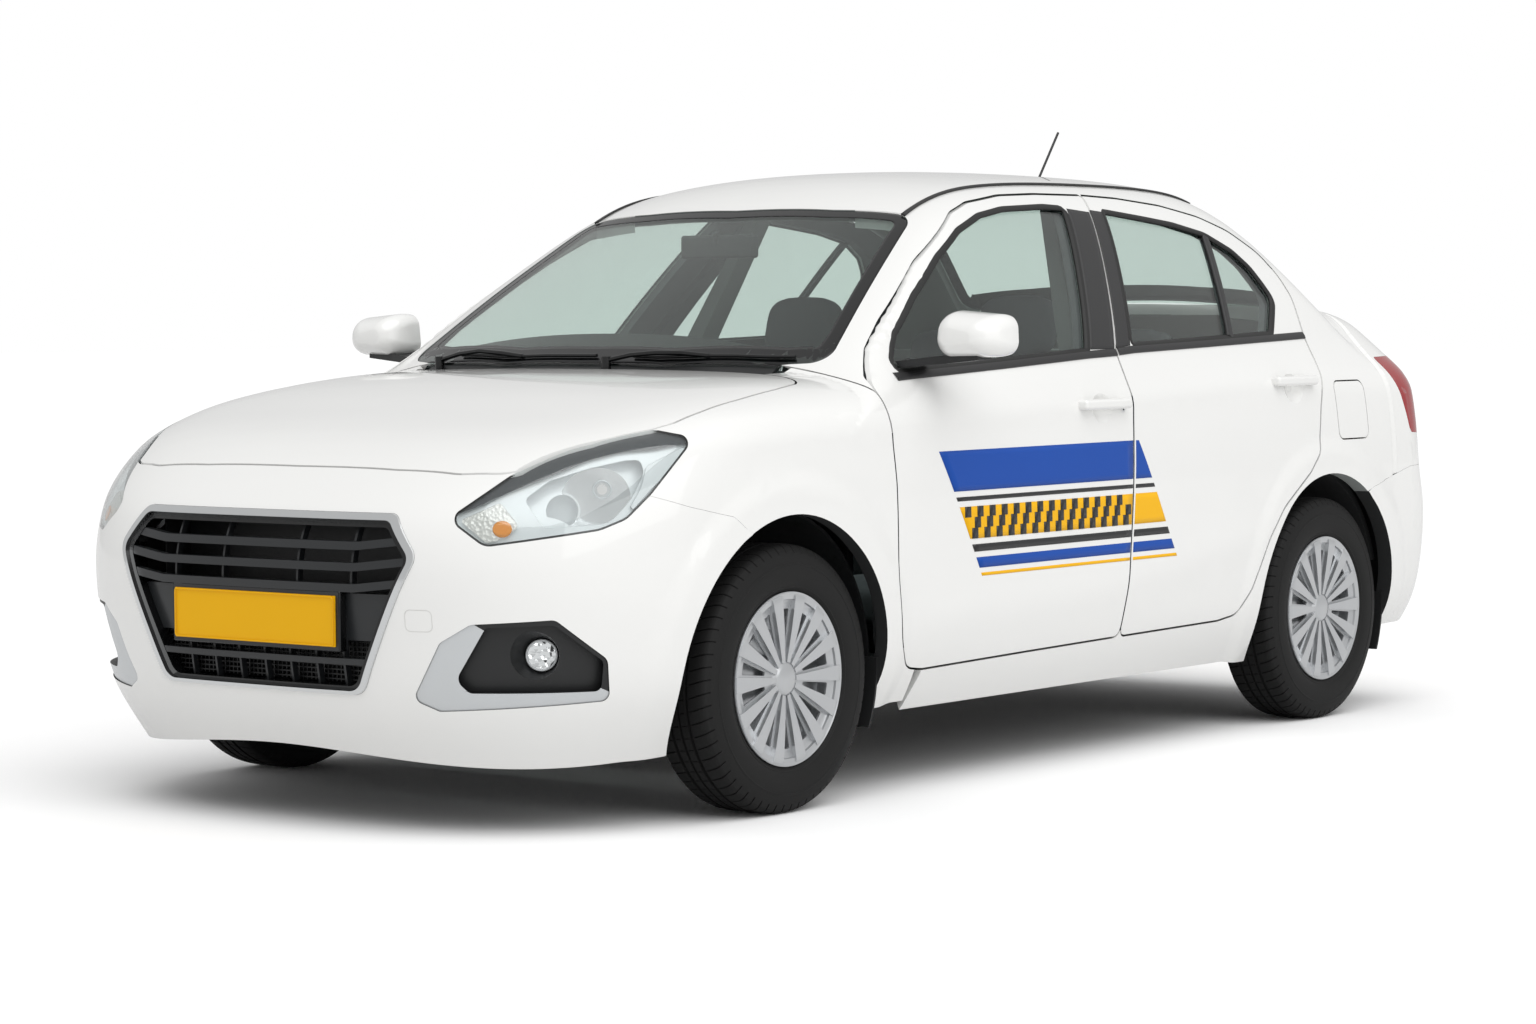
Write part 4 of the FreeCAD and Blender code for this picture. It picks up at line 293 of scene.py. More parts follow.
def merged(node):
    """Points and triangles of a CAD node with its doubled points merged."""
    src = frame["nodes"][node].data
    co = np.empty(len(src.vertices) * 3)
    src.vertices.foreach_get("co", co)
    co = co.reshape(-1, 3)
    loops = np.empty(len(src.loops), int)
    src.loops.foreach_get("vertex_index", loops)
    cells = np.round(co / MERGE_STEP).astype(np.int64)
    _, first, back = np.unique(cells, axis=0, return_index=True, return_inverse=True)
    tri = back.reshape(-1)[loops.reshape(-1, 3)]
    tri = tri[(tri[:, 0] != tri[:, 1]) & (tri[:, 1] != tri[:, 2]) & (tri[:, 0] != tri[:, 2])]
    return co[first], tri


def least_of_part(values, tri):
    """Per triangle, the least value found anywhere on its connected part, by passing labels on."""
    label = np.arange(len(values))
    while True:
        new = label.copy()
        np.minimum.at(new, tri.ravel(), np.repeat(label[tri].min(axis=1), 3))
        new = new[new]
        if (new == label).all():
            break
        label = new
    least = np.full(len(values), np.inf)
    np.minimum.at(least, label, values)
    return least[label][tri[:, 0]]


print("the roof has", len(merged("roof_panel")[0]), "points once merged")


# %% True normals and a material for each triangle
def dress(node, materials, choose=None, skin_depth=1.6, angle=32.0):
    """Merged copy of a CAD node. Corners on the body's skin take the formula's normal and the rest
    are smooth below an angle. choose(centres, depths, faces, start) picks a material per triangle,
    where start is the least depth of the part that the triangle belongs to."""
    points, tri = merged(node)
    mesh = mesh_of(node + "_finish", points, tri)
    obj = link(node + "_finish", mesh, frame["nodes"][node]["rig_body"], materials)
    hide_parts(node)
    p = points / MM
    slope = gradient(p)
    length = np.maximum(np.linalg.norm(slope, axis=-1), 1e-9)
    depth = -body_form(p) / length
    normal = slope / length[:, None]
    a, b, c = p[tri[:, 0]], p[tri[:, 1]], p[tri[:, 2]]
    face = np.cross(b - a, c - a)
    face /= np.maximum(np.linalg.norm(face, axis=-1), 1e-12)[:, None]
    if choose is not None:
        index = choose((a + b + c) / 3, depth[tri].max(axis=1), face, least_of_part(depth, tri))
        mesh.polygons.foreach_set("material_index", index.astype(np.int32))
    mesh.set_sharp_from_angle(angle=math.radians(angle))
    if skin_depth > 0:
        on_skin = (np.abs(depth[tri]) < skin_depth) & (np.einsum("fk,fck->fc", face, normal[tri]) > 0.9)
        custom = np.where(on_skin[..., None], normal[tri], 0.0).reshape(-1, 3)
        mesh.normals_split_custom_set(custom.tolist())
    return obj


# %% [markdown]
# ## Finishes
# Each finish is named for the real one and carries small procedural detail of a true size:
# a fine noise lifts the surface and a broad one shifts shade and gloss, as on real parts.

# %% Node helpers
def srgb(code):
    """Hex colour as linear light: the standard curve with its straight foot."""
    c = np.array([int(code[i:i + 2], 16) for i in (1, 3, 5)]) / 255
    return (*[float(v) for v in np.where(c <= 0.04045, c / 12.92, ((c + 0.055) / 1.055) ** 2.4)], 1.0)


def put(tree, kind, inputs=None, **settings):
    """Adds a shader node. Settings are its properties; inputs take a value or another node's socket."""
    node = tree.nodes.new("ShaderNode" + kind)
    for key, value in settings.items():
        setattr(node, key, value)
    for key, value in (inputs or {}).items():
        if isinstance(value, bpy.types.NodeSocket):
            tree.links.new(value, node.inputs[key])
        else:
            node.inputs[key].default_value = value
    return node


print("mid grey as linear light:", round(srgb("#808080")[0], 3))


# %% Opaque finishes
def finish(name, colour, rough, grain_mm=2.0, lift_mm=0.0, uneven=0.05, shade=0.03, kind="noise", **sockets):
    """A surface with grain of a real size. Extra sockets of the shader are set by name."""
    mat = bpy.data.materials.new(name)
    mat.use_nodes = True
    tree = mat.node_tree
    shader = tree.nodes["Principled BSDF"]
    where = put(tree, "TexCoord").outputs["Object"]
    if kind == "cells":
        fine = put(tree, "TexVoronoi", {"Vector": where, "Scale": 1000 / grain_mm}).outputs["Distance"]
    else:
        fine = put(tree, "TexNoise", {"Vector": where, "Scale": 1000 / grain_mm, "Detail": 3.0}).outputs[0]
    broad = put(tree, "TexNoise", {"Vector": where, "Scale": 6.0, "Detail": 4.0}).outputs[0]
    tone = put(tree, "MapRange", {"Value": broad, "To Min": 1 - shade, "To Max": 1 + shade})
    tint = put(tree, "HueSaturation", {"Value": tone.outputs[0], "Color": srgb(colour)})
    tree.links.new(tint.outputs[0], shader.inputs["Base Color"])
    spread = {"Value": fine, "To Min": max(0.01, rough - uneven), "To Max": rough + uneven}
    gloss = put(tree, "MapRange", spread)
    tree.links.new(gloss.outputs[0], shader.inputs["Roughness"])
    if lift_mm:
        bump = put(tree, "Bump", {"Height": fine, "Distance": lift_mm * MM, "Strength": 1.0})
        tree.links.new(bump.outputs[0], shader.inputs["Normal"])
    for key, value in sockets.items():
        shader.inputs[key.replace("_", " ")].default_value = value
    return mat


print("grain of 2 mm is a scale of", 1000 / 2.0)

# %% [markdown]
# Thin panes are made as a coating over clear air, because the car's glass is one sheet whose
# bending of light can't be seen, and the seats behind it have to stay sharp.

# %% Coated glass
GLASS_INDEX = 1.45


def clear(name, colour, amount, rough=0.0):
    """Thin coated pane: mostly see-through tint, with a mirror share that grows at low angles.
    The index turns over on back faces, as light there comes out of the glass."""
    mat = bpy.data.materials.new(name)
    mat.use_nodes = True
    tree = mat.node_tree
    tree.nodes.remove(tree.nodes["Principled BSDF"])
    through = put(tree, "BsdfTransparent", {"Color": srgb(colour)})
    where = put(tree, "TexCoord").outputs["Object"]
    film = put(tree, "TexNoise", {"Vector": where, "Scale": 5.0, "Detail": 6.0}).outputs[0]
    haze = put(tree, "MapRange", {"Value": film, "To Min": rough, "To Max": rough + 0.02})
    mirror = put(tree, "BsdfGlossy", {"Color": (1, 1, 1, 1), "Roughness": haze.outputs[0]})
    back = put(tree, "NewGeometry").outputs["Backfacing"]
    turn_over = {"Value": back, "To Min": GLASS_INDEX, "To Max": 1 / GLASS_INDEX}
    share = put(tree, "Fresnel", {"IOR": put(tree, "MapRange", turn_over).outputs[0]}).outputs[0]
    share = put(tree, "Math", {0: share, 1: amount}, operation="MULTIPLY").outputs[0]
    both = put(tree, "MixShader", {0: share, 1: through.outputs[0], 2: mirror.outputs[0]})
    tree.links.new(both.outputs[0], tree.nodes["Material Output"].inputs["Surface"])
    return mat


print("head-on mirror share of glass:", round(((GLASS_INDEX - 1) / (GLASS_INDEX + 1)) ** 2, 3))

# %% [markdown]
# Body paint is white enamel under clear coat. Rubber, grained plastics, satin chrome, cast
# and painted metals, woven cloth and glass follow, each with its own gloss and grain.

# %% Sprayed enamel and films
# Sprayed enamel: a soft white body with one sharp mirror on top, and no visible grain.
paint = finish("white enamel under clear coat", "#EFEFED", 0.32, 0.8, 0.0, 0.02, 0.008,
               Coat_Weight=1.0, Coat_Roughness=0.03)
# Thin primer inside the lids: duller, with a slight tooth. The same finish draws the painted shade line
# round the towing eye's cover.
primer = finish("body coloured primer", "#D9D9D6", 0.55, 1.5, 0.03)
# Moulded door card: small pebbles that break every highlight.
trim_dark = finish("dark door card plastic", "#565A5C", 0.62, 1.2, 0.05, kind="cells")
# Needled lining: no highlight at all, a fine fleece up close.
lining = finish("woven roof lining", "#8E9290", 0.9, 0.9, 0.08)
# Matt adhesive film: flat black with an even, wide sheen.
black_trim = finish("matt black trim film", "#2A2A2B", 0.5, 0.6, 0.01)
print(len(bpy.data.materials), "finishes so far")

# %% Rubber and moulded plastics
# Extruded rubber: deep black with a soft streak along its rounded edge.
rubber = finish("extruded black rubber", "#161616", 0.55, 0.7, 0.02)
ditch_rubber = finish("roof joint rubber", "#2C2C2C", 0.6, 0.8, 0.02)
# Injection moulded plastics: grained ones scatter light, polished ones mirror it in black.
plastic = finish("grained black plastic", "#1B1C1D", 0.45, 0.9, 0.04, kind="cells")
gloss_black = finish("smooth black plastic", "#0C0D0E", 0.18, 0.5, 0.0, 0.03)
dark_slat = finish("dark grey painted slat", "#242628", 0.34, 0.6, 0.01)
print(len(bpy.data.materials), "finishes so far")

# %% Plated and lacquered metals, tyres
# Plated plastic: bright, cool metal with a crisp but slightly soft image.
chrome = finish("satin bright plating", "#DADCDD", 0.12, 1.2, 0.0, 0.03, 0.02, Metallic=1.0)
# Wheel lacquer: fine metal flake under clear lacquer, pale grey with a soft gleam.
silver = finish("silver wheel lacquer", "#C3C5C7", 0.3, 0.35, 0.004, 0.05, 0.03,
                Metallic=0.75, Coat_Weight=0.5)
# Cured tyre rubber: nearly matt, the tread duller than the wall.
tyre_side = finish("tyre sidewall rubber", "#131313", 0.66, 0.9, 0.03, Specular_IOR_Level=0.3)
tyre_tread = finish("tyre tread rubber", "#151515", 0.8, 1.4, 0.06, Specular_IOR_Level=0.3)
mud_rubber = finish("moulded mud flap rubber", "#18191A", 0.6, 1.4, 0.05)
print(len(bpy.data.materials), "finishes so far")

# %% Lamp parts
# Vacuum plated bowls give a soft, pale mirror image; surrounds are a step duller. The silvered surround is
# near white with little metal: a painted reflection that keeps it bright.
# The bowl is half white diffuse colour: partly real pale plating, partly a painted reflection.
reflector = finish("vacuum plated reflector, half painted white", "#F4F5F6", 0.16, 2.0, 0.0, 0.04, 0.01, Metallic=0.5)
bezel_silver = finish("silver lamp bezel", "#CDD0D2", 0.25, 0.8, 0.0, 0.04, Metallic=0.4)
lamp_grey = finish("dark lamp surround", "#3A3D40", 0.35, 0.8, 0.01)
lamp_silver_painted_reflection = finish("silvered lamp surround with painted reflection", "#E9EBEC", 0.3, 0.8, 0.01, Metallic=0.15)
# Facets of 14 mm, coarser than real ones, so that they show in a small lamp.
fog_bowl = finish("faceted plated fog lamp bowl", "#E4E7E8", 0.1, 14.0, 5.0, kind="cells", Metallic=1.0)
# Moulded lamp colours: deep tint under a smooth gloss.
amber = finish("amber lamp plastic", "#F59A2C", 0.18, 1.5, 0.0, Coat_Weight=0.5)
facets = finish("faceted silvered indicator", "#E9E6E1", 0.2, 9.0, 1.6, kind="cells", Metallic=0.3)
red_lamp = finish("red lamp plastic", "#960C14", 0.16, 1.5, 0.0, Coat_Weight=0.2)
pale_lamp = finish("frosted lamp plastic", "#D9D4D2", 0.22, 1.5, 0.0)
print(len(bpy.data.materials), "finishes so far")

# %% Underside, cabin and glass
# Reflective sheet: flat yellow with tiny beads.
plate_yellow = finish("yellow number plate sheet", "#EDB200", 0.4, 0.12, 0.002, Specular_IOR_Level=0.2)
# Sand cast and coated metals of the underside: dull grey with a rough skin.
cast = finish("cast aluminium", "#8A8C8D", 0.5, 1.6, 0.08, Metallic=0.9)
under_black = finish("underbody black coat", "#1E1F20", 0.75, 3.0, 0.2)
engine_grey = finish("engine casting", "#55585A", 0.5, 2.2, 0.1, Metallic=0.6)
exhaust_steel = finish("aluminised exhaust steel", "#8C8A85", 0.42, 2.0, 0.05, Metallic=0.9)
tank_plastic = finish("moulded tank plastic", "#262728", 0.6, 2.5, 0.1)
# Woven cloth: no gloss, a thread pattern a millimetre across.
cloth = finish("woven seat cloth", "#63676A", 0.95, 1.1, 0.25)
dash = finish("soft dash skin", "#3C3F42", 0.6, 1.1, 0.06, kind="cells")
# Tempered and laminated glass: a green cast and a mirror that grows at low angles.
glass_tint = clear("green tinted glass", "#F0F5F3", 1.0)
glass_screen = clear("green tinted laminated glass", "#EDF4F1", 1.0)
lens_clear = clear("clear lamp cover", "#F6F8F8", 1.3)
mirror_glass = finish("silvered mirror glass", "#DDE2E4", 0.02, 3.0, 0.0, 0.01, 0.01, Metallic=1.0)
# Cut vinyl: flat, strong colour with an even sheen.
blue_film = finish("blue vinyl film", "#0F4AA6", 0.4, 0.5, 0.0, Specular_IOR_Level=0.25)
gold_film = finish("yellow vinyl film", "#F5B800", 0.4, 0.5, 0.0, Specular_IOR_Level=0.25)
black_film = finish("black vinyl film", "#1A1A1C", 0.32, 0.5, 0.0)
print(len(bpy.data.materials), "finishes")

# %% [markdown]
# ## Panels and glass
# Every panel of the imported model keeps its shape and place. Outer faces become enamel, and
# what lies deeper than the sheet becomes door card, roof lining or seal.

# %% Painted panels
SCOOP_DEPTH, SCOOP_TOP = 30, 1000


def below(limit):
    """Second material deeper than the sheet. The handles' scoops, which face outward, stay painted."""
    def choose(c, depth, face, start):
        """One where a triangle is deeper than the limit and no scoop, else nought."""
        outward = face[:, 1] * np.sign(c[:, 1]) > 0.25
        scoop = outward & (depth < SCOOP_DEPTH) & (c[:, 2] < SCOOP_TOP)
        return ((depth > limit) & ~scoop) * 1
    return choose


def inner_face(c, depth, face, start):
    """Faces of a body side that look towards the cabin."""
    inward = face[:, 1] * np.sign(c[:, 1]) < -0.35
    return ((depth > 12) & (inward | (face[:, 2] < -0.6)) & (c[:, 2] > 420)) * 1


DOOR_SHEET = 14.15
for side in ("left", "right"):
    dress("door_front_" + side, [paint, trim_dark], below(DOOR_SHEET))
    dress("door_rear_" + side, [paint, trim_dark], below(DOOR_SHEET))
    dress("window_front_" + side, glass_tint, skin_depth=15)
    dress("window_rear_" + side, glass_tint, skin_depth=15)
dress("body_sides", [paint, lining], inner_face)
dress("roof_panel", [paint, lining], below(20))
dress("front_wings", [paint, under_black], below(25))
dress("front_bumper", [paint, under_black], below(30))
dress("rear_bumper", [paint, under_black], below(30))
dress("bonnet", [paint, primer], below(22))
dress("boot_lid", [paint, primer], below(24))
dress("fuel_flap", paint)
dress("windscreen", glass_screen, skin_depth=9)
dress("rear_screen", glass_screen, skin_depth=9)
print("panels and glass dressed")

# %% [markdown]
# ## Nose and lamps
# The lamp is a clear cover over a dark brow, a silver bezel, a plated bowl and a grey tube.
# The grille is a bright two-step frame round dark slats with a plain band for the plate.

# %% Lamp and grille finishes
LAMP_TURN = math.radians(41.0)
BOWL, BOWL_REACH = (-530.0, 758.0, 1767.0), 96.5
RIM_DEPTH, WALL_DEPTH, BACK_DEPTH = 7, 8, 30
SURROUND_STEP = 3.0


def turned(p, z, along):
    """Point of the car's left side from the lamp's own axes: across, height and along its beam,
    which is turned outward about the upright."""
    return np.stack([along * math.cos(LAMP_TURN) - p * math.sin(LAMP_TURN),
                     along * math.sin(LAMP_TURN) + p * math.cos(LAMP_TURN), z + 0 * p], -1)


def lamp_choice(c, depth, face, start):
    """Rubber rim, then silver wall, blade and bezel, then the back with its plated bowl."""
    centre = turned(np.array(BOWL[0]), BOWL[1], BOWL[2])
    near = np.stack([c[:, 0], np.abs(c[:, 1]), c[:, 2]], -1)
    bowl = np.linalg.norm(near - centre, axis=1) < BOWL_REACH
    rim = (start < RIM_DEPTH) & (depth < WALL_DEPTH)
    index = np.where(rim, 0, np.where(start < BACK_DEPTH, 1, 2))
    return np.where((index == 2) & bowl, 3, index)


# Wall, blade, bezel and back take the near white surround: a painted reflection of plated parts.
dress("headlamp_housings", [rubber, lamp_silver_painted_reflection, lamp_silver_painted_reflection, reflector], lamp_choice, skin_depth=0)
print("lamp housings dressed, bowl", BOWL_REACH, "mm")

# %% Brow, covers and indicators
BROW_LINE = Curve((-800, 724), (-732, 757), (-644, 790), (-560, 823), (-489, 840), (-432, 845))


def lamp_across(c):
    """Place across the lamp: the turned axes' first number."""
    return -c[:, 0] * math.sin(LAMP_TURN) + np.abs(c[:, 1]) * math.cos(LAMP_TURN)


def brow_choice(c, depth, face, start):
    """Dark brow along the top; the rim below its line is silver."""
    p = lamp_across(c)
    return ((c[:, 2] < BROW_LINE(p) - 8) & (p > -800)) * 1


# The rim below the brow takes the same near white surround: painted reflection.
dress("headlamp_brows", [lamp_grey, lamp_silver_painted_reflection], brow_choice, skin_depth=12)
dress("headlamp_lenses", lens_clear, skin_depth=9)
dress("indicator_lamps", facets, skin_depth=0)
dress("fog_lamp_pockets", plastic, skin_depth=0)
dress("fog_lamps", fog_bowl, skin_depth=0)
print("brow's height at its ends:", BROW_LINE([-800, -432]).round())

# %% Fog trims, grille and tail
BLADE_EDGE, BLADE_DEPTH = ([324, 345, 360, 466], [-826, -836, -846, -786]), 22


def step_choice(c, depth, face, start):
    """Plated outer frame, black inner step, told apart by how deep each part starts."""
    return (start > SURROUND_STEP) * 1


def fog_choice(c, depth, face, start):
    """Bright blade at the outer side and along the bottom of the black frame."""
    inner_edge = np.interp(c[:, 2], *BLADE_EDGE)
    low, top = BLADE_EDGE[0][0], BLADE_EDGE[0][-1]
    blade = (c[:, 2] < low) | ((lamp_across(c) < inner_edge) & (c[:, 2] < top))
    return (blade & (depth < BLADE_DEPTH)) * 1


dress("fog_trims", [plastic, bezel_silver], fog_choice, skin_depth=5)
dress("grille_surround", [chrome, gloss_black], step_choice, skin_depth=8)
dress("grille", dark_slat, skin_depth=0)
dress("tail_lamps", red_lamp, skin_depth=1.6)
dress("rear_corners", paint)
dress("cowl_panel", plastic, skin_depth=14)
print("nose, lamps and tail dressed")

# %% [markdown]
# ## Plain pieces
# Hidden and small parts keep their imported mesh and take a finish.

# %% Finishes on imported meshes
plain = {
    "front_number_plate": plate_yellow, "rear_number_plate": plate_yellow,
    "front_suspension": cast, "rear_axle": under_black, "knuckle_left": cast, "knuckle_right": cast,
    "engine": engine_grey, "exhaust": exhaust_steel, "fuel_tank": tank_plastic, "arch_liners": plastic,
    "mud_flaps": mud_rubber, "wipers": gloss_black, "aerial": gloss_black, "interior_mirror": plastic,
    "dashboard": dash, "steering_wheel": plastic,
}
for name, mat in plain.items():
    mesh = frame["nodes"][name].data
    mesh.materials.clear()
    mesh.materials.append(mat)
for corner in ("front_left", "front_right", "rear_left", "rear_right"):
    dress("wheel_" + corner, silver, skin_depth=0, angle=28)
print(len(plain), "plain nodes")

# %% [markdown]
# A door mirror is one node with three looks: its painted shell, its dark foot and its glass.
# Each connected part gets one material, told apart by how far in and how thick it is.

# %% Mirrors and floor
MIRROR_FOOT_Y, MIRROR_GLASS_THICK = 840, 30
LINING_FROM = 960


def mirror_parts(node):
    """Material by part: foot and sail reach the door's skin, and the glass is the thin plate."""
    points, tri = merged(node)
    inner = least_of_part(np.abs(points[:, 1]) / MM, tri)
    front = -least_of_part(-points[:, 0] / MM, tri)
    back = least_of_part(points[:, 0] / MM, tri)
    index = np.where(inner < MIRROR_FOOT_Y, 1, np.where(front - back < MIRROR_GLASS_THICK, 2, 0))
    return lambda c, depth, face, start: index


for side in ("left", "right"):
    node = "door_mirror_" + side
    dress(node, [paint, plastic, mirror_glass], mirror_parts(node), skin_depth=0, angle=50)
dress("body_floor", [under_black, lining], lambda c, depth, face, start: (c[:, 2] > LINING_FROM) * 1,
      skin_depth=0)
print("mirrors and floor dressed")

# %% [markdown]
# ## Seals, belt strips and pillar films
# Each window sits in an extruded rubber seal: a soft profile swept along the window's edge,
# from the sheet down to the glass. A belt strip runs under the windows, and matt film covers
# the middle pillar on both doors. A black rubber strip deep in the shut line between the doors
# is painted shade: it darkens the gap where the white pillar behind would show. All of them
# are laid on the body's formula.

# %% Outlines of the sides
# Each corner is its place along, its height and its radius.
FRONT_WINDOW = [
    (648, 998, 14), (191, 1019, 600), (-176, 1038, 10), (-399, 1404, 10), (-309, 1407, 300),
    (-111, 1397, 300), (10, 1378, 150), (132, 1339, 200), (270, 1271, 300), (432, 1174, 300),
    (560, 1086, 90)]
REAR_WINDOW = [
    (-394, 1050, 10), (-1163, 1073, 24), (-1257, 1165, 40), (-1238, 1205, 40), (-1210, 1253, 80),
    (-1156, 1298, 80), (-1055, 1342, 150), (-908, 1368, 300), (-769, 1382, 300), (-584, 1399, 10)]


print(len(FRONT_WINDOW), "and", len(REAR_WINDOW), "corners")


# %% Lines with rounded corners
def even(points, step, closed=True):
    """The same line with points an even step apart, by its running length."""
    line = np.vstack([points, points[:1]]) if closed else points
    run = np.r_[0, np.cumsum(np.linalg.norm(np.diff(line, axis=0), axis=1))]
    count = max(4, int(round(run[-1] / step)))
    at = np.linspace(0, run[-1], count + 1)[:-1 if closed else None]
    return np.stack([np.interp(at, run, line[:, k]) for k in range(line.shape[1])], -1)


def outline(corners, step=8.0):
    """Closed line with an arc at each corner, tangent to both sides."""
    c = np.array(corners, float)
    p, radius = c[:, :2], c[:, 2]
    back, on = np.roll(p, 1, 0) - p, np.roll(p, -1, 0) - p
    lb, lo = np.linalg.norm(back, axis=1), np.linalg.norm(on, axis=1)
    ub, uo = back / lb[:, None], on / lo[:, None]
    half = np.arccos(np.clip((ub * uo).sum(1), -1, 1)) / 2
    cut = np.minimum(np.minimum(radius / np.tan(half), 0.46 * lb), 0.46 * lo)
    t = np.linspace(0, 1, 9)[None, :, None]
    a, b = (p + ub * cut[:, None])[:, None], (p + uo * cut[:, None])[:, None]
    weight = np.sin(half)[:, None, None]
    top = (1 - t) ** 2 * a + 2 * t * (1 - t) * weight * p[:, None] + t ** 2 * b
    arc = top / ((1 - t) ** 2 + 2 * t * (1 - t) * weight + t ** 2)
    return even(arc.reshape(-1, 2), step)


def sideways(line, closed=True):
    """Unit normals of a plane line, pointing to its outside."""
    d = (np.roll(line, -1, 0) - np.roll(line, 1, 0)) if closed else np.gradient(line, axis=0)
    n = np.stack([d[:, 1], -d[:, 0]], -1)
    n /= np.linalg.norm(n, axis=1)[:, None]
    turn = np.sign(np.sum(line[:, 0] * np.roll(line[:, 1], -1) - np.roll(line[:, 0], -1) * line[:, 1]))
    return n * (turn if closed else 1.0)


print("front window's edge has", len(outline(FRONT_WINDOW)), "points")

# %% [markdown]
# A strip is a section swept along such a line: each point of the section moves outward in the
# line's plane by its first number and away from the skin by its second.

# %% Strips on the side
def on_side(x, z, rise):
    """Points over the doors' skin by a distance across the car."""
    return np.stack([x, side_y(x, z) + rise, z], -1)


def side_strip(name, body, line, profile, material, closed=True, side=1):
    """Profile of (outward, rise) pairs swept along a line on the side of the car."""
    n = sideways(line, closed)
    prof = np.array(profile, float)
    x = line[:, None, 0] + n[:, None, 0] * prof[None, :, 0]
    z = line[:, None, 1] + n[:, None, 1] * prof[None, :, 0]
    points, flip = on_side(x, z, prof[None, :, 1]), side < 0
    points = mirrored(points) if flip else points
    mesh = sheet_mesh(name, points, close_rows=closed, close_columns=True, flip=flip)
    obj = link(name, mesh, body, material)
    face_outward(obj)
    return obj


def face_outward(obj):
    """Turns a closed strip inside out if its signed volume is below nought."""
    mesh = obj.data
    mesh.calc_loop_triangles()
    tri = np.empty(len(mesh.loop_triangles) * 3, int)
    mesh.loop_triangles.foreach_get("vertices", tri)
    co = np.empty(len(mesh.vertices) * 3)
    mesh.vertices.foreach_get("co", co)
    a, b, c = np.moveaxis(co.reshape(-1, 3)[tri.reshape(-1, 3)], 1, 0)
    if np.einsum("ij,ij->i", a, np.cross(b, c)).sum() < 0:
        mesh.flip_normals()


print("skin under the mirror:", on_side(np.array(520.0), np.array(980.0), 0.0).round(1))

# %% Sections and lines of seals and trim
# Sections as pairs of place across the strip and rise over the skin.
SEAL = [(9.5, -0.6), (9.8, 0.8), (8.6, 1.9), (5.0, 2.4), (1.2, 1.9), (-2.6, 0.2), (-5.2, -3.5),
        (-6.2, -8.6), (-3.0, -8.8), (-0.4, -6.0), (-0.2, -0.8)]
BELT = [(-9.5, -0.6), (-9.5, 1.6), (-7.0, 4.2), (0.0, 5.0), (7.0, 3.6), (9.5, 0.8), (9.5, -0.6)]
BAR = [(-12.0, -9.5), (-12.0, 0.6), (-9.0, 1.6), (9.0, 1.6), (12.0, 0.6), (12.0, -9.5)]
# Black strip deep in the doors' gap: painted shade for the shut line.
GAP_SHADE_STRIP = [(-2.4, -13.5), (-2.2, -9.0), (0.0, -7.5), (2.2, -9.0), (2.4, -13.5)]
FILM_RISE = 0.9
FRONT_BELT = [(652, 985.5), (191, 1008), (-170, 1027), (-304, 1031.5)]
REAR_BELT = [(-314, 1033), (-394, 1038), (-1150, 1060), (-1352, 1066)]
FRONT_FILM = ((-186, 1040), (-302, 1040), (-509, 1398), (-410, 1406))
REAR_FILM = ((-312, 1042), (-384, 1048), (-575, 1400), (-520, 1404))
QUARTER_BAR = [(-924, 1066), (-990, 1208), (-1052, 1341)]
DOOR_SPLIT = [(-270, 330), (-273, 440), (-304, 784), (-317, 900), (-315, 981), (-308, 1040), (-513, 1409)]
print("seal section of", len(SEAL), "points, belt of", len(BELT))


# %% Seals, belts and films
def pillar_film(name, body, corners, side):
    """Matt film patch laid proud of the skin: a grid blended between its four corners."""
    (x0, z0), (x1, z1), (x2, z2), (x3, z3) = corners
    u, v = np.meshgrid(np.linspace(0, 1, 7), np.linspace(0, 1, 40), indexing="ij")
    x = (1 - u) * ((1 - v) * x0 + v * x3) + u * ((1 - v) * x1 + v * x2)
    z = (1 - u) * ((1 - v) * z0 + v * z3) + u * ((1 - v) * z1 + v * z2)
    points = on_side(x, z, FILM_RISE)
    points = points if side > 0 else mirrored(points)
    obj = link(name, sheet_mesh(name, points, flip=side > 0), body, black_trim)
    thicken(obj, 1.4)
    return obj


def open_strip(name, body, corners, step, profile, material, side):
    """Strip along an open line through a few corners."""
    line = even(np.array(corners, float), step, False)
    side_strip(name, body, line, profile, material, closed=False, side=side)


SIDES = (("left", 1), ("right", -1))
for side, k in SIDES:
    front, rear = "front_door_" + side, "rear_door_" + side
    side_strip("seal_front_" + side, front, outline(FRONT_WINDOW), SEAL, rubber, side=k)
    side_strip("seal_rear_" + side, rear, outline(REAR_WINDOW), SEAL, rubber, side=k)
    open_strip("belt_front_" + side, front, FRONT_BELT, 12.0, BELT, black_trim, k)
    open_strip("belt_rear_" + side, rear, REAR_BELT, 12.0, BELT, black_trim, k)
    pillar_film("pillar_film_front_" + side, front, FRONT_FILM, k)
    pillar_film("pillar_film_rear_" + side, rear, REAR_FILM, k)
    open_strip("window_bar_" + side, rear, QUARTER_BAR, 10.0, BAR, black_trim, k)
    # Painted shade: a black strip fills the shut line between the doors.
    open_strip("door_gap_shade_strip_" + side, "body", DOOR_SPLIT, 12.0, GAP_SHADE_STRIP, rubber, k)
print("seals, belts and films laid")

# %% [markdown]
# ## Tyres
# A tyre's section is drawn once, from bead over sidewall, shoulder, ribs and grooves to the
# middle, and mirrored. Turning it round the axle gives the carcass; sipes are narrow dips at
# an even pitch across the shoulders and ribs.

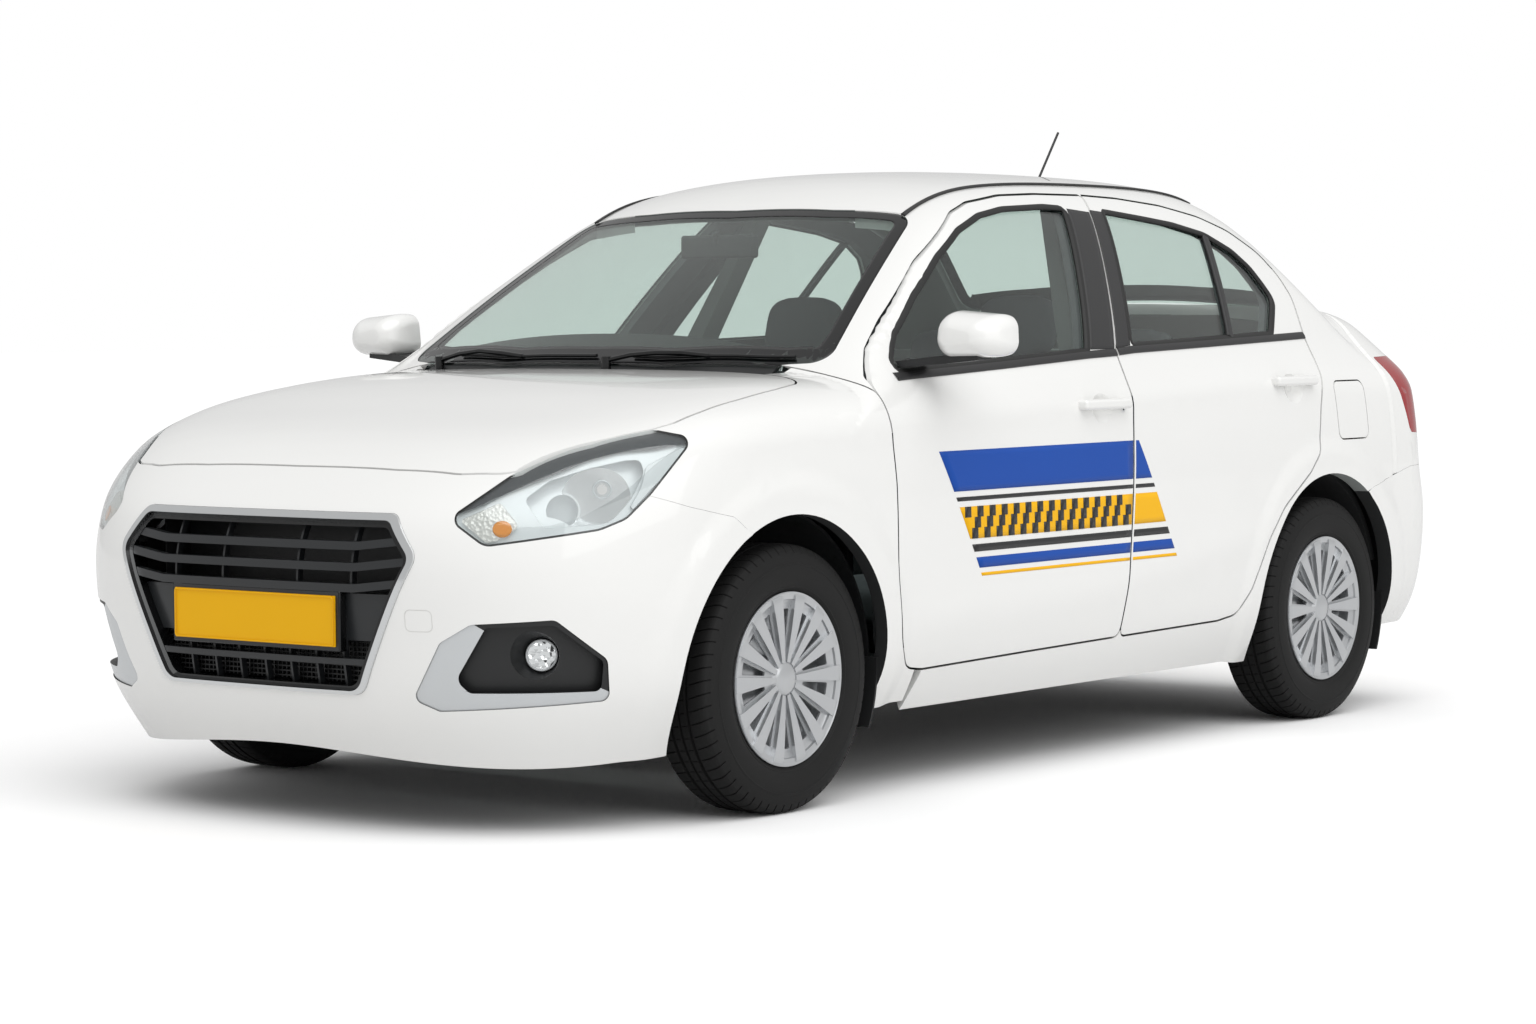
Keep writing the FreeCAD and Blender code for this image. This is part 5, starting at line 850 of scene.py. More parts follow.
# %% Tyre section and tread
# Half width by radius, then sipe places in one pitch, then offset, radius and sipe share.
SIDE_WALL = Curve((199.3, 75.0), (210, 81.5), (225, 86.0), (245, 87.4), (262, 86.6), (278, 83.4),
                  (290, 78.8), (298, 73.6))
SIPE_DEEP = 4.6
PITCHES = 64
PITCH_STEPS = np.array([0.0, 0.035, 0.07, 0.13, 0.165, 0.58])
SIPE_HERE = np.array([0, 0, 1, 1, 0, 0])
SHOULDER = [
    (71.0, 301.6, 1), (66.5, 304.3, 1), (60.0, 306.3, 1), (52.0, 307.3, 1), (44.0, 307.8, 1),
    (36.0, 308.0, 1), (31.2, 308.0, 0), (30.4, 301.0, 0), (22.6, 301.0, 0), (21.8, 308.0, 0),
    (17.5, 308.0, 0.6), (8.0, 308.0, 0.6), (3.4, 308.0, 0), (2.8, 302.0, 0)]


def tyre_section():
    """Rows of offset, radius and sipe share from the outer bead to the inner one."""
    r = np.r_[199.3, 203, 206, 207, 211, 212, np.arange(218, 256, 6.0),
              260, 261, 264, 265, np.arange(270, 299, 4.0), 298]
    ring = ((r > 206.5) & (r < 211.5)) | ((r > 260.5) & (r < 264.5))
    wall = np.stack([np.minimum(SIDE_WALL(r) + 0.9 * ring - 0.4, 88.0), r, np.where(r > 288, 1.0, 0.0)], -1)
    half = np.vstack([wall, SHOULDER])
    return np.vstack([half, half[::-1] * [-1, 1, 1]])


def tyre_mesh(name, axle, out):
    """The section turned round the axle. Each row also leans round the wheel with its offset."""
    section = tyre_section()
    u = (np.arange(PITCHES)[:, None] + PITCH_STEPS[None, :]).ravel() / PITCHES
    dip = SIPE_DEEP * np.tile(SIPE_HERE, PITCHES)
    slant = 0.022 * np.sign(section[:, 0]) * (np.abs(section[:, 0]) / 40) ** 1.5
    turn = 2 * np.pi * (u[:, None] + slant[None, :] / 6)
    r = section[None, :, 1] - dip[:, None] * section[None, :, 2]
    y = np.broadcast_to(section[None, :, 0], r.shape)
    points = np.stack([axle + r * np.cos(turn), out * (TRACK + y), TYRE_R + r * np.sin(turn)], -1)
    mesh = sheet_mesh(name, points, close_rows=True, close_columns=True)
    rows = np.tile(np.arange(len(section)), len(u))
    tread = np.abs(np.abs(rows - (len(section) - 1) / 2)) < len(SHOULDER) + 1.5
    mesh.polygons.foreach_set("material_index", tread.astype(np.int32))
    mesh.set_sharp_from_angle(angle=math.radians(35))
    return mesh


for corner, axle, out in (("front_left", AXLES[0], 1), ("front_right", AXLES[0], -1),
                          ("rear_left", AXLES[1], 1), ("rear_right", AXLES[1], -1)):
    node = "tyre_" + corner
    body = frame["nodes"][node]["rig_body"]
    obj = link(node + "_tread", tyre_mesh(node, axle, out), body, [tyre_side, tyre_tread])
    face_outward(obj)
    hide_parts(node)
print("tyre rows", len(tyre_section()), "steps", PITCHES * len(PITCH_STEPS))

# %% [markdown]
# ## Screens and roof joints
# Bonded glass has a black ceramic band fired round its edge. It hides the glue, so it is
# deeper along the bottom. Rubber fills the two joints along the roof.

# %% Outlines of the screens and joints
SCREEN = [(868, 0), (862, 250), (798, 562), (748, 672), (195, 528), (225, 300), (240, 0)]
REAR_SCREEN = [(-1215, 0), (-1208, 300), (-1190, 486), (-1580, 560), (-1612, 520), (-1626, 300), (-1630, 0)]
SCREEN_SUNK, BAND_RISE = 2.0, 0.35
JOINT = [(206, 503), (-300, 497), (-800, 491), (-1186, 486)]
JOINT_HALF = ([-1186, -500, 150, 206], [2.2, 2.6, 4.2, 5.6])


def top_z(x, y):
    """Height of the roof and screens over a point, solved by repeats."""
    z = roof_height(x, y)
    for _ in range(6):
        w = np.clip(np.abs(y) / half_width(x, z), 0, 0.9999)
        z = UPPER_ROOT + (roof_height(x, y) - UPPER_ROOT) * (1 - w ** 16) ** (1 / 16)
    return z


print("roof over the middle pillar:", round(float(top_z(-350.0, 0.0)), 1))


# %% Bands of the screens
def whole(half, radius):
    """Closed outline from its left half, with every corner rounded."""
    corners = [(x, y, radius) for x, y in half] + [(x, -y, radius) for x, y in half[::-1] if y > 0]
    return outline(corners, 9.0)


def laid_on_top(line, rise):
    """Plan points lifted onto the roof's skin, then moved along its outward slope."""
    x, y = line[..., 0], line[..., 1]
    p = np.stack([x, y, top_z(x, y)], -1)
    slope = gradient(p)
    return p + slope / np.linalg.norm(slope, axis=-1)[..., None] * rise


def ceramic_band(name, half, radius, width_at, material):
    """Flat ring inside the edge of a screen. Its width is a function of place."""
    line = whole(half, radius)
    n = sideways(line)
    t = np.linspace(0.0, 1.0, 7)[None, :, None]
    ring = line[:, None] - n[:, None] * (1.0 + t * width_at(line)[:, None, None])
    points = laid_on_top(ring, BAND_RISE - SCREEN_SUNK)
    obj = link(name, sheet_mesh(name, points, close_rows=True), "body", material)
    thicken(obj, 0.3)
    up = np.mean([p.normal.z for p in obj.data.polygons])
    if up < 0:
        obj.data.flip_normals()
    return obj


def screen_width(line):
    """Band of the windscreen: 36 mm at the sides, 34 at the top, 62 at the bottom."""
    return 36 + 26 * ease((line[:, 0] - 640) / 160) - 2 * ease((300 - line[:, 0]) / 60)


def rear_width(line):
    """Band of the rear screen: 34 mm, and 56 along the bottom."""
    return 34 + 22 * ease((-1540 - line[:, 0]) / 60)


ceramic_band("windscreen_band", SCREEN, 60.0, screen_width, gloss_black)
ceramic_band("rear_screen_band", REAR_SCREEN, 60.0, rear_width, gloss_black)
print("two ceramic bands laid")

# %% Roof joint rubbers
for side, k in SIDES:
    line = even(np.array(JOINT, float), 14.0, False)
    half = np.interp(line[:, 0], *JOINT_HALF)
    over = np.linspace(-1, 1, 5)
    x = np.repeat(line[:, None, 0], 5, 1)
    y = line[:, None, 1] + half[:, None] * over
    points = laid_on_top(np.stack([x, y], -1), (0.6 - 0.9 * over ** 2)[None, :, None])
    points = points if k > 0 else mirrored(points)
    name = "roof_joint_rubber_" + side
    obj = link(name, sheet_mesh(name, points, flip=k > 0), "body", ditch_rubber)
    thicken(obj, 5.0)
print("two roof rubbers laid")

# %% [markdown]
# ## Seats
# Foam under stretched cloth: each pad starts as a crowned block a little smaller than its
# space, is remeshed to an even skin and blown up by a short cloth simulation, so that its
# sides pull in and its corners round as upholstery does. Sewn lines are pressed in after.

# %% Crowned blocks
def crowned_block(x0, x1, y0, y1, z0, z1, power=5.0, crown=0.0, n=26):
    """Box with rounded edges: the unit ball under a power norm, scaled to three half sizes."""
    lift, turn = np.linspace(-np.pi / 2, np.pi / 2, n), np.linspace(-np.pi, np.pi, 2 * n, endpoint=False)
    u, v = np.meshgrid(lift, turn, indexing="ij")
    ray = np.stack([np.cos(u) * np.cos(v), np.cos(u) * np.sin(v), np.sin(u)], -1)
    ray /= (np.abs(ray) ** power).sum(-1)[..., None] ** (1 / power)
    ray[..., 2] *= 1 + crown * (1 - ray[..., 0] ** 2) * (1 - ray[..., 1] ** 2)
    middle = np.array([x0 + x1, y0 + y1, z0 + z1]) / 2
    half = np.array([x1 - x0, y1 - y0, z1 - z0]) / 2
    return middle + ray * half


def leaned(p, foot, degrees):
    """Points turned about the line across the car through a foot point."""
    a = math.radians(degrees)
    x = p[..., 0] * math.cos(a) + p[..., 2] * math.sin(a)
    z = -p[..., 0] * math.sin(a) + p[..., 2] * math.cos(a)
    return np.stack([x + foot[0], p[..., 1], z + foot[1]], -1)


def join_grids(blocks):
    """One point array and one face array from several closed grids."""
    points, faces, start = [], [], 0
    for block in blocks:
        rows, columns = block.shape[:2]
        points.append(block.reshape(-1, 3))
        faces.append(grid_faces(rows, columns, close_columns=True)[:, ::-1] + start)
        start += rows * columns
    return np.vstack(points), np.vstack(faces)


print("a crowned block has", crowned_block(0, 1, 0, 1, 0, 1).shape[:2], "points")


# %% Blowing up and sewing
def stuffed(name, blocks, material, seams, voxel=11.0, swell=10.0, node=None):
    """Pads blown up by cloth pressure, held within a cap, then sewn."""
    points, faces = join_grids(blocks)
    obj = link(name, mesh_of(name, points * MM, faces), "body", material)
    remesh = obj.modifiers.new("even skin", "REMESH")
    remesh.mode, remesh.voxel_size = "VOXEL", voxel * MM
    settle(obj)
    start = coordinates(obj.data)
    cloth_mod = obj.modifiers.new("pressure", "CLOTH")
    cloth_mod.settings.use_pressure = True
    cloth_mod.settings.uniform_pressure_force = 4.0
    cloth_mod.settings.effector_weights.gravity = 0.0
    cloth_mod.settings.quality = 4
    scene = bpy.context.scene
    for frame_number in range(1, 21):
        scene.frame_set(frame_number)
    settle(obj)
    scene.frame_set(1)
    moved = coordinates(obj.data) - start
    far = np.maximum(np.linalg.norm(moved, axis=1) / (swell * MM), 1.0)
    start = start + moved / far[:, None]
    start = press_seams(start, obj.data, seams)
    obj.data.vertices.foreach_set("co", start.ravel())
    obj.data.update()
    finer = obj.modifiers.new("finer", "SUBSURF")
    finer.levels = finer.render_levels = 1
    settle(obj)
    obj.data.polygons.foreach_set("use_smooth", np.ones(len(obj.data.polygons), bool))
    if node:
        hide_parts(node)
    print(name, len(obj.data.polygons), "faces")
    return obj


def coordinates(mesh):
    """Places of a mesh's points as rows, in metres."""
    co = np.empty(len(mesh.vertices) * 3)
    mesh.vertices.foreach_get("co", co)
    return co.reshape(-1, 3)


def settle(obj):
    """Applies every modifier by taking the evaluated mesh."""
    graph = bpy.context.evaluated_depsgraph_get()
    fresh = bpy.data.meshes.new_from_object(obj.evaluated_get(graph))
    old = obj.data
    obj.modifiers.clear()
    obj.data = fresh
    bpy.data.meshes.remove(old)


def press_seams(p, mesh, seams):
    """Sinks points near each sewn plane along their normals: a narrow bell curve of depth."""
    normal = np.empty(len(mesh.vertices) * 3)
    mesh.vertices.foreach_get("normal", normal)
    normal = normal.reshape(-1, 3)
    deep = np.zeros(len(p))
    for axis, place, low, high in seams:
        other = p[:, 1] / MM
        inside = (other > low) & (other < high)
        off = p[:, axis] / MM - place
        deep = np.maximum(deep, inside * np.exp(-(off / 7.0) ** 2))
    return p - normal * deep[:, None] * 6 * MM


print("the simulation", "runs")

# %% Front and rear pads
SEAT_Y, FRONT_FOOT, REAR_FOOT, BACK_LEAN = 360.0, (-330, 430), (-994, 440), -16.0
SEATS = (("right", -SEAT_Y), ("left", SEAT_Y))
REAR_SEAMS = [(1, s, -600, 600) for s in (-400, -150, 150, 400)]
for side, y in SEATS:
    pads = [crowned_block(-322, 142, y - 232, y + 232, 318, 446, crown=0.06),
            leaned(crowned_block(-52, 52, y - 222, y + 222, 10, 572), FRONT_FOOT, BACK_LEAN),
            leaned(crowned_block(-36, 44, y - 122, y + 122, 606, 776, power=3.6), FRONT_FOOT, BACK_LEAN)]
    lines = [(1, y - 140, y - 400, y + 400), (1, y + 140, y - 400, y + 400)]
    seat = stuffed("front_seat_pads_" + side, pads, cloth, lines)
# The bench's back and its two head rests: ranges along, across and up, and the form's power.
REAR_PADS = ((-52, 52, -545, 545, 10, 552, 5.0), (-38, 38, -452, -208, 546, 676, 3.6),
             (-38, 38, 208, 452, 546, 676, 3.6))
pads = [crowned_block(-1032, -648, -592, 592, 372, 496, crown=0.05)]
for *ranges, power in REAR_PADS:
    pads.append(leaned(crowned_block(*ranges, power=power), REAR_FOOT, BACK_LEAN))
stuffed("rear_seat_pads", pads, cloth, REAR_SEAMS, voxel=12.0, node="rear_seat")
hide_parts("front_seats")
print(len(SEATS) + 1, "sets of pads")

# %% [markdown]
# The seats stand on dark bases and the head rests on bright steel rods.

# %% Seat bases and rods
def rod(name, body, start, end, radius, material, slot, n=20):
    """Round bar between two points, with flat ends."""
    a, b = np.array(start, float), np.array(end, float)
    way = (b - a) / np.linalg.norm(b - a)
    side = np.cross(way, [0.0, 1.0, 0.0])
    side = side / np.linalg.norm(side) if np.linalg.norm(side) > 0.1 else np.array([1.0, 0, 0])
    up = np.cross(side, way)
    t = np.linspace(0, 2 * np.pi, n, endpoint=False)
    ring = np.cos(t)[:, None] * side + np.sin(t)[:, None] * up
    rows = [a + 0 * ring, a + ring * radius, b + ring * radius, b + 0 * ring]
    obj = link(name, sheet_mesh(name, np.stack(rows), close_columns=True), body, material)
    obj.data.set_sharp_from_angle(angle=math.radians(40))
    face_outward(obj)
    return obj


for side, y in SEATS:
    base = crowned_block(-280, 100, y - 200, y + 200, 263, 330, power=12)
    name = "seat_base_" + side
    obj = link(name, sheet_mesh(name, base, close_columns=True), "body", plastic)
    face_outward(obj)
    for i, d in enumerate((-55.0, 55.0)):
        a, b = leaned(np.array([[5.0, y + d, 555.0], [5.0, y + d, 640.0]]), FRONT_FOOT, BACK_LEAN)
        rod("head_rest_rod_%s_%d" % (side, i + 1), "body", a, b, 6.5, chrome, "black_plastic")
print("seat bases and rods placed")

# %% [markdown]
# ## Fine pieces of the nose
# A lamp shows small parts through its cover: a bulb behind a shield in the bowl, a bead round
# the grey tube and round the fog lamp, a bright line under the brow and the amber bulb spot.

# %% Boxes with soft edges
BOX_FACES = np.array([(0, 3, 2, 1), (4, 5, 6, 7), (0, 1, 5, 4), (1, 2, 6, 5), (2, 3, 7, 6), (3, 0, 4, 7)])


def bevelled_block(name, body, corners, material, round_mm=1.2):
    """Eight-cornered solid with a small bevel, from corners given in order."""
    obj = link(name, mesh_of(name, np.array(corners, float) * MM, BOX_FACES), body, material)
    bevel = obj.modifiers.new("edge", "BEVEL")
    bevel.width, bevel.segments = round_mm * MM, 2
    face_outward(obj)
    return obj


def box_corners(x0, x1, y0, y1, z0, z1):
    """Corners of a box: the low four, then the high four, each round the same way."""
    low = [(x0, y0, z0), (x1, y0, z0), (x1, y1, z0), (x0, y1, z0)]
    return low + [(x, y, z1) for x, y, z in low]


print("a box has", len(BOX_FACES), "faces")


# %% Strips and beads in a lamp
def lamp_sheet(name, material, deep, across, heights, side, columns=40, wall=1.2):
    """Strip on the nose's skin, a set depth in, between two heights along the lamp's own width."""
    p, t = np.meshgrid(np.linspace(*across, columns), np.linspace(0, 1, 5), indexing="ij")
    z = heights(p, t)
    points = turned(p, z, reach_skin(lambda far: turned(p, z, far), p.shape, 1300.0, 2400.0, 26))
    slope = gradient(points)
    points = points - slope / np.linalg.norm(slope, axis=-1)[..., None] * deep
    points = points if side > 0 else mirrored(points)
    obj = link(name, sheet_mesh(name, points, flip=side < 0), "body", material)
    thicken(obj, wall)
    return obj


def ring_mesh(name, centre, way, radius, tube, body, material, n=48, m=10):
    """Round bead about a centre, square to a direction: a small circle carried round a large one."""
    way = np.array(way, float) / np.linalg.norm(way)
    side = np.cross(way, [0, 0, 1.0])
    side /= np.linalg.norm(side)
    up = np.cross(side, way)
    a, b = np.meshgrid(np.arange(n) * 2 * np.pi / n, np.arange(m) * 2 * np.pi / m, indexing="ij")
    out = np.cos(a)[..., None] * side + np.sin(a)[..., None] * up
    ring = out * (radius + tube * np.cos(b))[..., None]
    points = np.array(centre) + ring + way * (tube * np.sin(b))[..., None]
    obj = link(name, sheet_mesh(name, points, True, True), body, material)
    face_outward(obj)
    return obj


print("the lamp looks", round(math.degrees(LAMP_TURN)), "degrees outward")


# %% Small lamp parts
def brow_edge(p, t):
    """Line 4.5 mm high that follows the brow, 5.5 mm over its lower edge."""
    return BROW_LINE(p) + 5.5 + 4.5 * t


def bulb_spot(p, t):
    """Half ellipse up and down from the bulb's height: the root of one less the place squared."""
    return SPOT_Z + (2 * t - 1) * 18 * np.sqrt(np.clip(1 - ((p - SPOT_P) / 21.1) ** 2, 0.02, 1))


def lamp_bead(name, k, p, z, far, radius, bar):
    """Silver bead square to the beam, at a place across, a height and a place along the beam."""
    flip = np.array([1, k, 1.0])
    way = np.array([math.cos(LAMP_TURN), math.sin(LAMP_TURN), 0.0]) * flip
    centre = turned(np.array(p), z, far) * flip
    ring_mesh(name, centre, way, radius, bar, "body", bezel_silver)


SPOT_P, SPOT_Z = -747, 680
BULB_ENDS, BULB_RADIUS = (1690.0, 1742.0), 11.0
for side, k in SIDES:
    lamp_sheet("brow_line_" + side, chrome, 10.5, (-790, -436), brow_edge, k)
    lamp_sheet("indicator_mark_" + side, amber, 8.1, (-768, -726), bulb_spot, k, columns=24)
    lamp_bead("bulb_shield_" + side, k, BOWL[0], BOWL[1], 1738.0, 19.0, 2.4)
    ends = [turned(np.array(BOWL[0]), BOWL[1], end) * np.array([1, k, 1.0]) for end in BULB_ENDS]
    rod("bulb_" + side, "body", *ends, BULB_RADIUS, pale_lamp, "lamp_plastic")
    lamp_bead("tube_bead_" + side, k, -617.0, 712.0, 1726.0, 37.5, 2.2)
    lamp_bead("fog_bead_" + side, k, -664.0, 400.0, 1752.0, 33.0, 2.6)
print("small lamp parts placed, the bulbs", BULB_ENDS[1] - BULB_ENDS[0], "mm long")

# %% [markdown]
# ## Plates and the depth of the grille
# The plate stands on a black plinth and has a thin raised edge. Behind the slats lie five
# walls that lead air to the radiator, and a fine lattice that keeps stones out.

# %% Plinth and plate edges
PLINTH = box_corners(1962, 1984.5, -262, 262, 404, 538)
bevelled_block("plate_plinth_edge", "body", PLINTH, gloss_black, 4.0)


def frame_ring(name, x, half, z0, z1, wide, deep, body, material):
    """Flat raised edge round a plate, as one ring with a soft top."""
    line = outline([(-half, z0, 6), (half, z0, 6), (half, z1, 6), (-half, z1, 6)], 6.0)
    n = sideways(line)
    prof = np.array([(0, 0), (0, 0.7), (-0.4, 1.0), (-0.6, 1.0), (-1, 0.7), (-1, 0)])
    y = line[:, None, 0] + n[:, None, 0] * prof[None, :, 0] * wide
    z = line[:, None, 1] + n[:, None, 1] * prof[None, :, 0] * wide
    points = np.stack([x + deep * prof[None, :, 1] + 0 * y, y, z], -1)
    obj = link(name, sheet_mesh(name, points, True, True), body, material)
    face_outward(obj)
    return obj


PLATES = (("front_plate_edge", 1992.0, 416, 526, 0.9, "body"),
          ("rear_plate_edge", -1956.0, 707, 817, -0.9, "boot_lid_body"))
for name, x, z0, z1, deep, body in PLATES:
    frame_ring(name, x, 249, z0, z1, 3.0, deep, body, plate_yellow)
print(len(PLATES), "plate edges")

# %% Air guides and lattice
# Left, right, top, bottom and back walls as ranges along, across and up.
AIR_GUIDES = ((1802, 1880, 392, 396, 285, 690), (1802, 1880, -396, -392, 285, 690),
              (1802, 1880, -392, 392, 706, 710), (1802, 1925, -392, 392, 280, 284),
              (1801, 1803, -392, 392, 284, 718))
for i, guide in enumerate(AIR_GUIDES):
    bevelled_block("air_guide_%d" % (i + 1), "body", box_corners(*guide), plastic, 0.6)


def mesh_wall():
    """Fine lattice behind the lower grille: slim upright and level bars joined as one mesh."""
    bars = [box_corners(1925, 1929, -330, 330, z - 1.3, z + 1.3) for z in np.arange(338, 424, 10.5)]
    bars += [box_corners(1921, 1925, y - 1.3, y + 1.3, 332, 428) for y in np.arange(-326, 327, 13.0)]
    points = np.array(bars, float).reshape(-1, 3)
    faces = (np.arange(len(bars))[:, None, None] * 8 + BOX_FACES[None]).reshape(-1, 4)
    obj = link("grille_mesh", mesh_of("grille_mesh", points * MM, faces), "body", plastic, smooth=False)


mesh_wall()
print(len(AIR_GUIDES), "air guides and a lattice")

# %% [markdown]
# ## Small body details
# A key barrel sits by each front handle, and a thin primer coloured strip round the towing eye's cover is
# painted shade for its shut line.

# %% Key barrels and the towing eye's cover
def nose_line(name, corners, wide, material):
    """Thin closed line laid on the nose, 0.25 mm proud, from a front view outline."""
    line = outline(corners, 4.0)
    n = sideways(line)
    rows = line[:, None] + n[:, None] * np.array([-wide / 2, wide / 2])[None, :, None]
    y, z = rows[..., 0], rows[..., 1]
    x = reach_skin(lambda x: np.stack([x, y, z], -1), y.shape, 1300.0, 2300.0)
    points = np.stack([x + 0.25, y, z], -1)
    obj = link(name, sheet_mesh(name, points, close_rows=True), "body", material)
    thicken(obj, 0.3)
    return obj


# The cover lies on the car's left, as a front view outline of place across, height and radius.
TOW_COVER = [(433, 456, 12), (495, 456, 12), (495, 503, 12), (433, 503, 12)]
KEY_X, KEY_Z = -268.0, 886.0
# Duller strip round the cover: painted shade for the groove of its shut line.
nose_line("tow_eye_cover_shade_line", TOW_COVER, 1.6, primer)
skin = side_y(np.array(KEY_X), np.array(KEY_Z))
# Start and end against the skin, and the radius.
KEYS = (("key_barrel_", -6.0, 1.4, 7.0, chrome, "bright_trim"),
        ("key_slot_", 0.6, 1.8, 2.6, gloss_black, "black_plastic"))
for side, k in SIDES:
    for piece, start, end, radius, material, slot in KEYS:
        rod(piece + side, "front_door_" + side, (KEY_X, k * (skin + start), KEY_Z),
            (KEY_X, k * (skin + end), KEY_Z), radius, material, slot)
print("key barrels stand", round(float(skin)), "mm from the centre line")

# %% [markdown]
# ## Right rear quarter
# Only the left side has a filler flap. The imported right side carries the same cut, so a blank
# sheet closes it here, laid on the same skin and a little larger than the cut.

# %% Blank over the right filler cut
BLANK_RISE, BLANK_WALL = 0.12, 6.0
x, z = np.meshgrid(np.linspace(-1550, -1362, 40), np.linspace(766, 948, 40), indexing="ij")
y = reach_skin(lambda y: np.stack([x, y, z], -1), x.shape, 500.0, 1000.0)
blank = mirrored(np.stack([x, y + BLANK_RISE, z], -1))
obj = link("quarter_blank_right", sheet_mesh("quarter_blank_right", blank), "body", paint)
if np.mean([p.normal.y for p in obj.data.polygons]) > 0:
    obj.data.flip_normals()
thicken(obj, BLANK_WALL)
print("right quarter closed")

# %% [markdown]
# ## Tail details
# The lamps get a reversing window and an indicator window, the lid a bright strip over its
# blank plate, and the bumper two low reflectors, as this kind of car has at the back.

# %% Pieces laid on the tail
def tail_patch(name, y_range, z_range, rise, material, body, side=1, wall=2.0):
    """Rounded rectangle laid on the tail's skin. Its corners are drawn in by a power norm."""
    u, v = np.meshgrid(np.linspace(-1, 1, 25), np.linspace(-1, 1, 13), indexing="ij")
    squeeze = 1 / np.maximum(1.0, (np.abs(u) ** 6 + np.abs(v) ** 6) ** (1 / 6))
    y = np.mean(y_range) + np.ptp(y_range) / 2 * u * squeeze
    z = np.mean(z_range) + np.ptp(z_range) / 2 * v * squeeze
    x = reach_skin(lambda x: np.stack([x, y, z], -1), y.shape, -1500.0, -2150.0)
    points = np.stack([x - rise, y, z], -1)
    points = points if side > 0 else mirrored(points)
    obj = link(name, sheet_mesh(name, points, flip=side < 0), body, material)
    thicken(obj, wall)
    return obj


for side, k in SIDES:
    tail_patch("reversing_window_" + side, (574, 650), (800, 846), 0.9, pale_lamp, "body", k)
    tail_patch("rear_indicator_window_" + side, (574, 690), (862, 898), 0.9, amber, "body", k)
    tail_patch("rear_reflector_" + side, (560, 680), (372, 396), 1.2, red_lamp, "body", k)
tail_patch("lid_strip", (-265, 265), (836, 856), 3.0, chrome, "boot_lid_body", wall=3.6)
print("tail pieces laid")

# %% [markdown]
# ## Door graphics
# A cab's doors carry cut vinyl film. Plain slanted stripes with a band of taxi squares lie half
# a millimetre over the enamel, split where the doors meet.

# %% Edges of the vinyl
ART_FRONT, ART_REAR, ART_TOP, SPLIT_GAP = 560.0, -330.0, 806.0, 7.0
LEAN = 0.55
# Low edge, high edge and film of each stripe.
STRIPES = ((708.0, ART_TOP, blue_film), (684.0, 694.0, black_film), (592.0, 670.0, gold_film),
           (560.0, 578.0, black_film), (520.0, 546.0, blue_film), (500.0, 508.0, gold_film))
SQUARE, SQUARES_FROM = 26.0, 592.0


def split_at(z):
    """Edge between the doors where the stripes cross it."""
    return np.interp(z, [440, 784, 900], [-270, -304, -320]) - 3.0


def vinyl(x0, x1, z0, z1, rise, side, columns=28):
    """Four-sided film between two edges that are functions of height."""
    rows = max(3, int((z1 - z0) / 12))
    z, u = np.meshgrid(np.linspace(z0, z1, rows), np.linspace(0, 1, columns), indexing="ij")
    x = x0(z) + (x1(z) - x0(z)) * u
    points = on_side(x, z, rise)
    return points if side > 0 else mirrored(points)


def lean_from(x):
    """Slanted edge: a place at the stripes' top, moved back by a share of the drop below it."""
    return lambda z: x - (ART_TOP - z) * LEAN


print("stripes lean", round(math.degrees(math.atan(LEAN))), "degrees")


# %% Stripes and squares
def both_doors(name, z0, z1, rise, material, side, k):
    """One stripe as a front and a rear piece, with the doors' shut line left free."""
    parts = (("front", lambda z: split_at(z) + SPLIT_GAP, lean_from(ART_FRONT)),
             ("rear", lean_from(ART_REAR), lambda z: split_at(z) - SPLIT_GAP))
    for end, x0, x1 in parts:
        piece = name + "_" + end + "_" + side
        points = vinyl(x0, x1, z0, z1, rise, k)
        obj = link(piece, sheet_mesh(piece, points, flip=k > 0), end + "_door_" + side, material)
        thicken(obj, 0.4)


def squares(name, side, k):
    """Three rows of squares, every second one black, over the yellow stripe."""
    column = np.arange(34)
    points = []
    for row in range(3):
        z0 = SQUARES_FROM + row * SQUARE
        x0 = lean_from(ART_FRONT)(z0 + SQUARE / 2) - 14 - (column + 1) * SQUARE
        keep = ((column + row) % 2 == 0) & (x0 > split_at(z0) + SPLIT_GAP)
        u, v = np.meshgrid([0.0, 0.5, 1.0], [0.0, 0.5, 1.0], indexing="ij")
        x = x0[keep][:, None, None] + SQUARE * u
        z = z0 + SQUARE * v + 0 * x
        points.append(on_side(x, z, 0.85).reshape(-1, 3))
    points = np.vstack(points)
    cell = grid_faces(3, 3)
    faces = (np.arange(len(points) // 9)[:, None, None] * 9 + cell[None]).reshape(-1, 4)
    points = points if k > 0 else mirrored(points)
    faces = faces[:, ::-1] if k > 0 else faces
    obj = link(name, mesh_of(name, points * MM, faces), "front_door_" + side, black_film)
    thicken(obj, 0.3)


for side, k in SIDES:
    for i, (z0, z1, film) in enumerate(STRIPES):
        both_doors("stripe_%d" % (i + 1), z0, z1, 0.5, film, side, k)
    squares("taxi_squares_" + side, side, k)
print(len(STRIPES) * 4 + 2, "pieces of vinyl")

# %% [markdown]
# ## Studio
# A pale floor that meets a white surround, large soft lamps at a plain level, and the camera
# of the photograph: its place, aim, lens and slight roll.

# %% World and floor
ROOM_LIGHT, FLOOR_SHADE = 0.62, 0.74


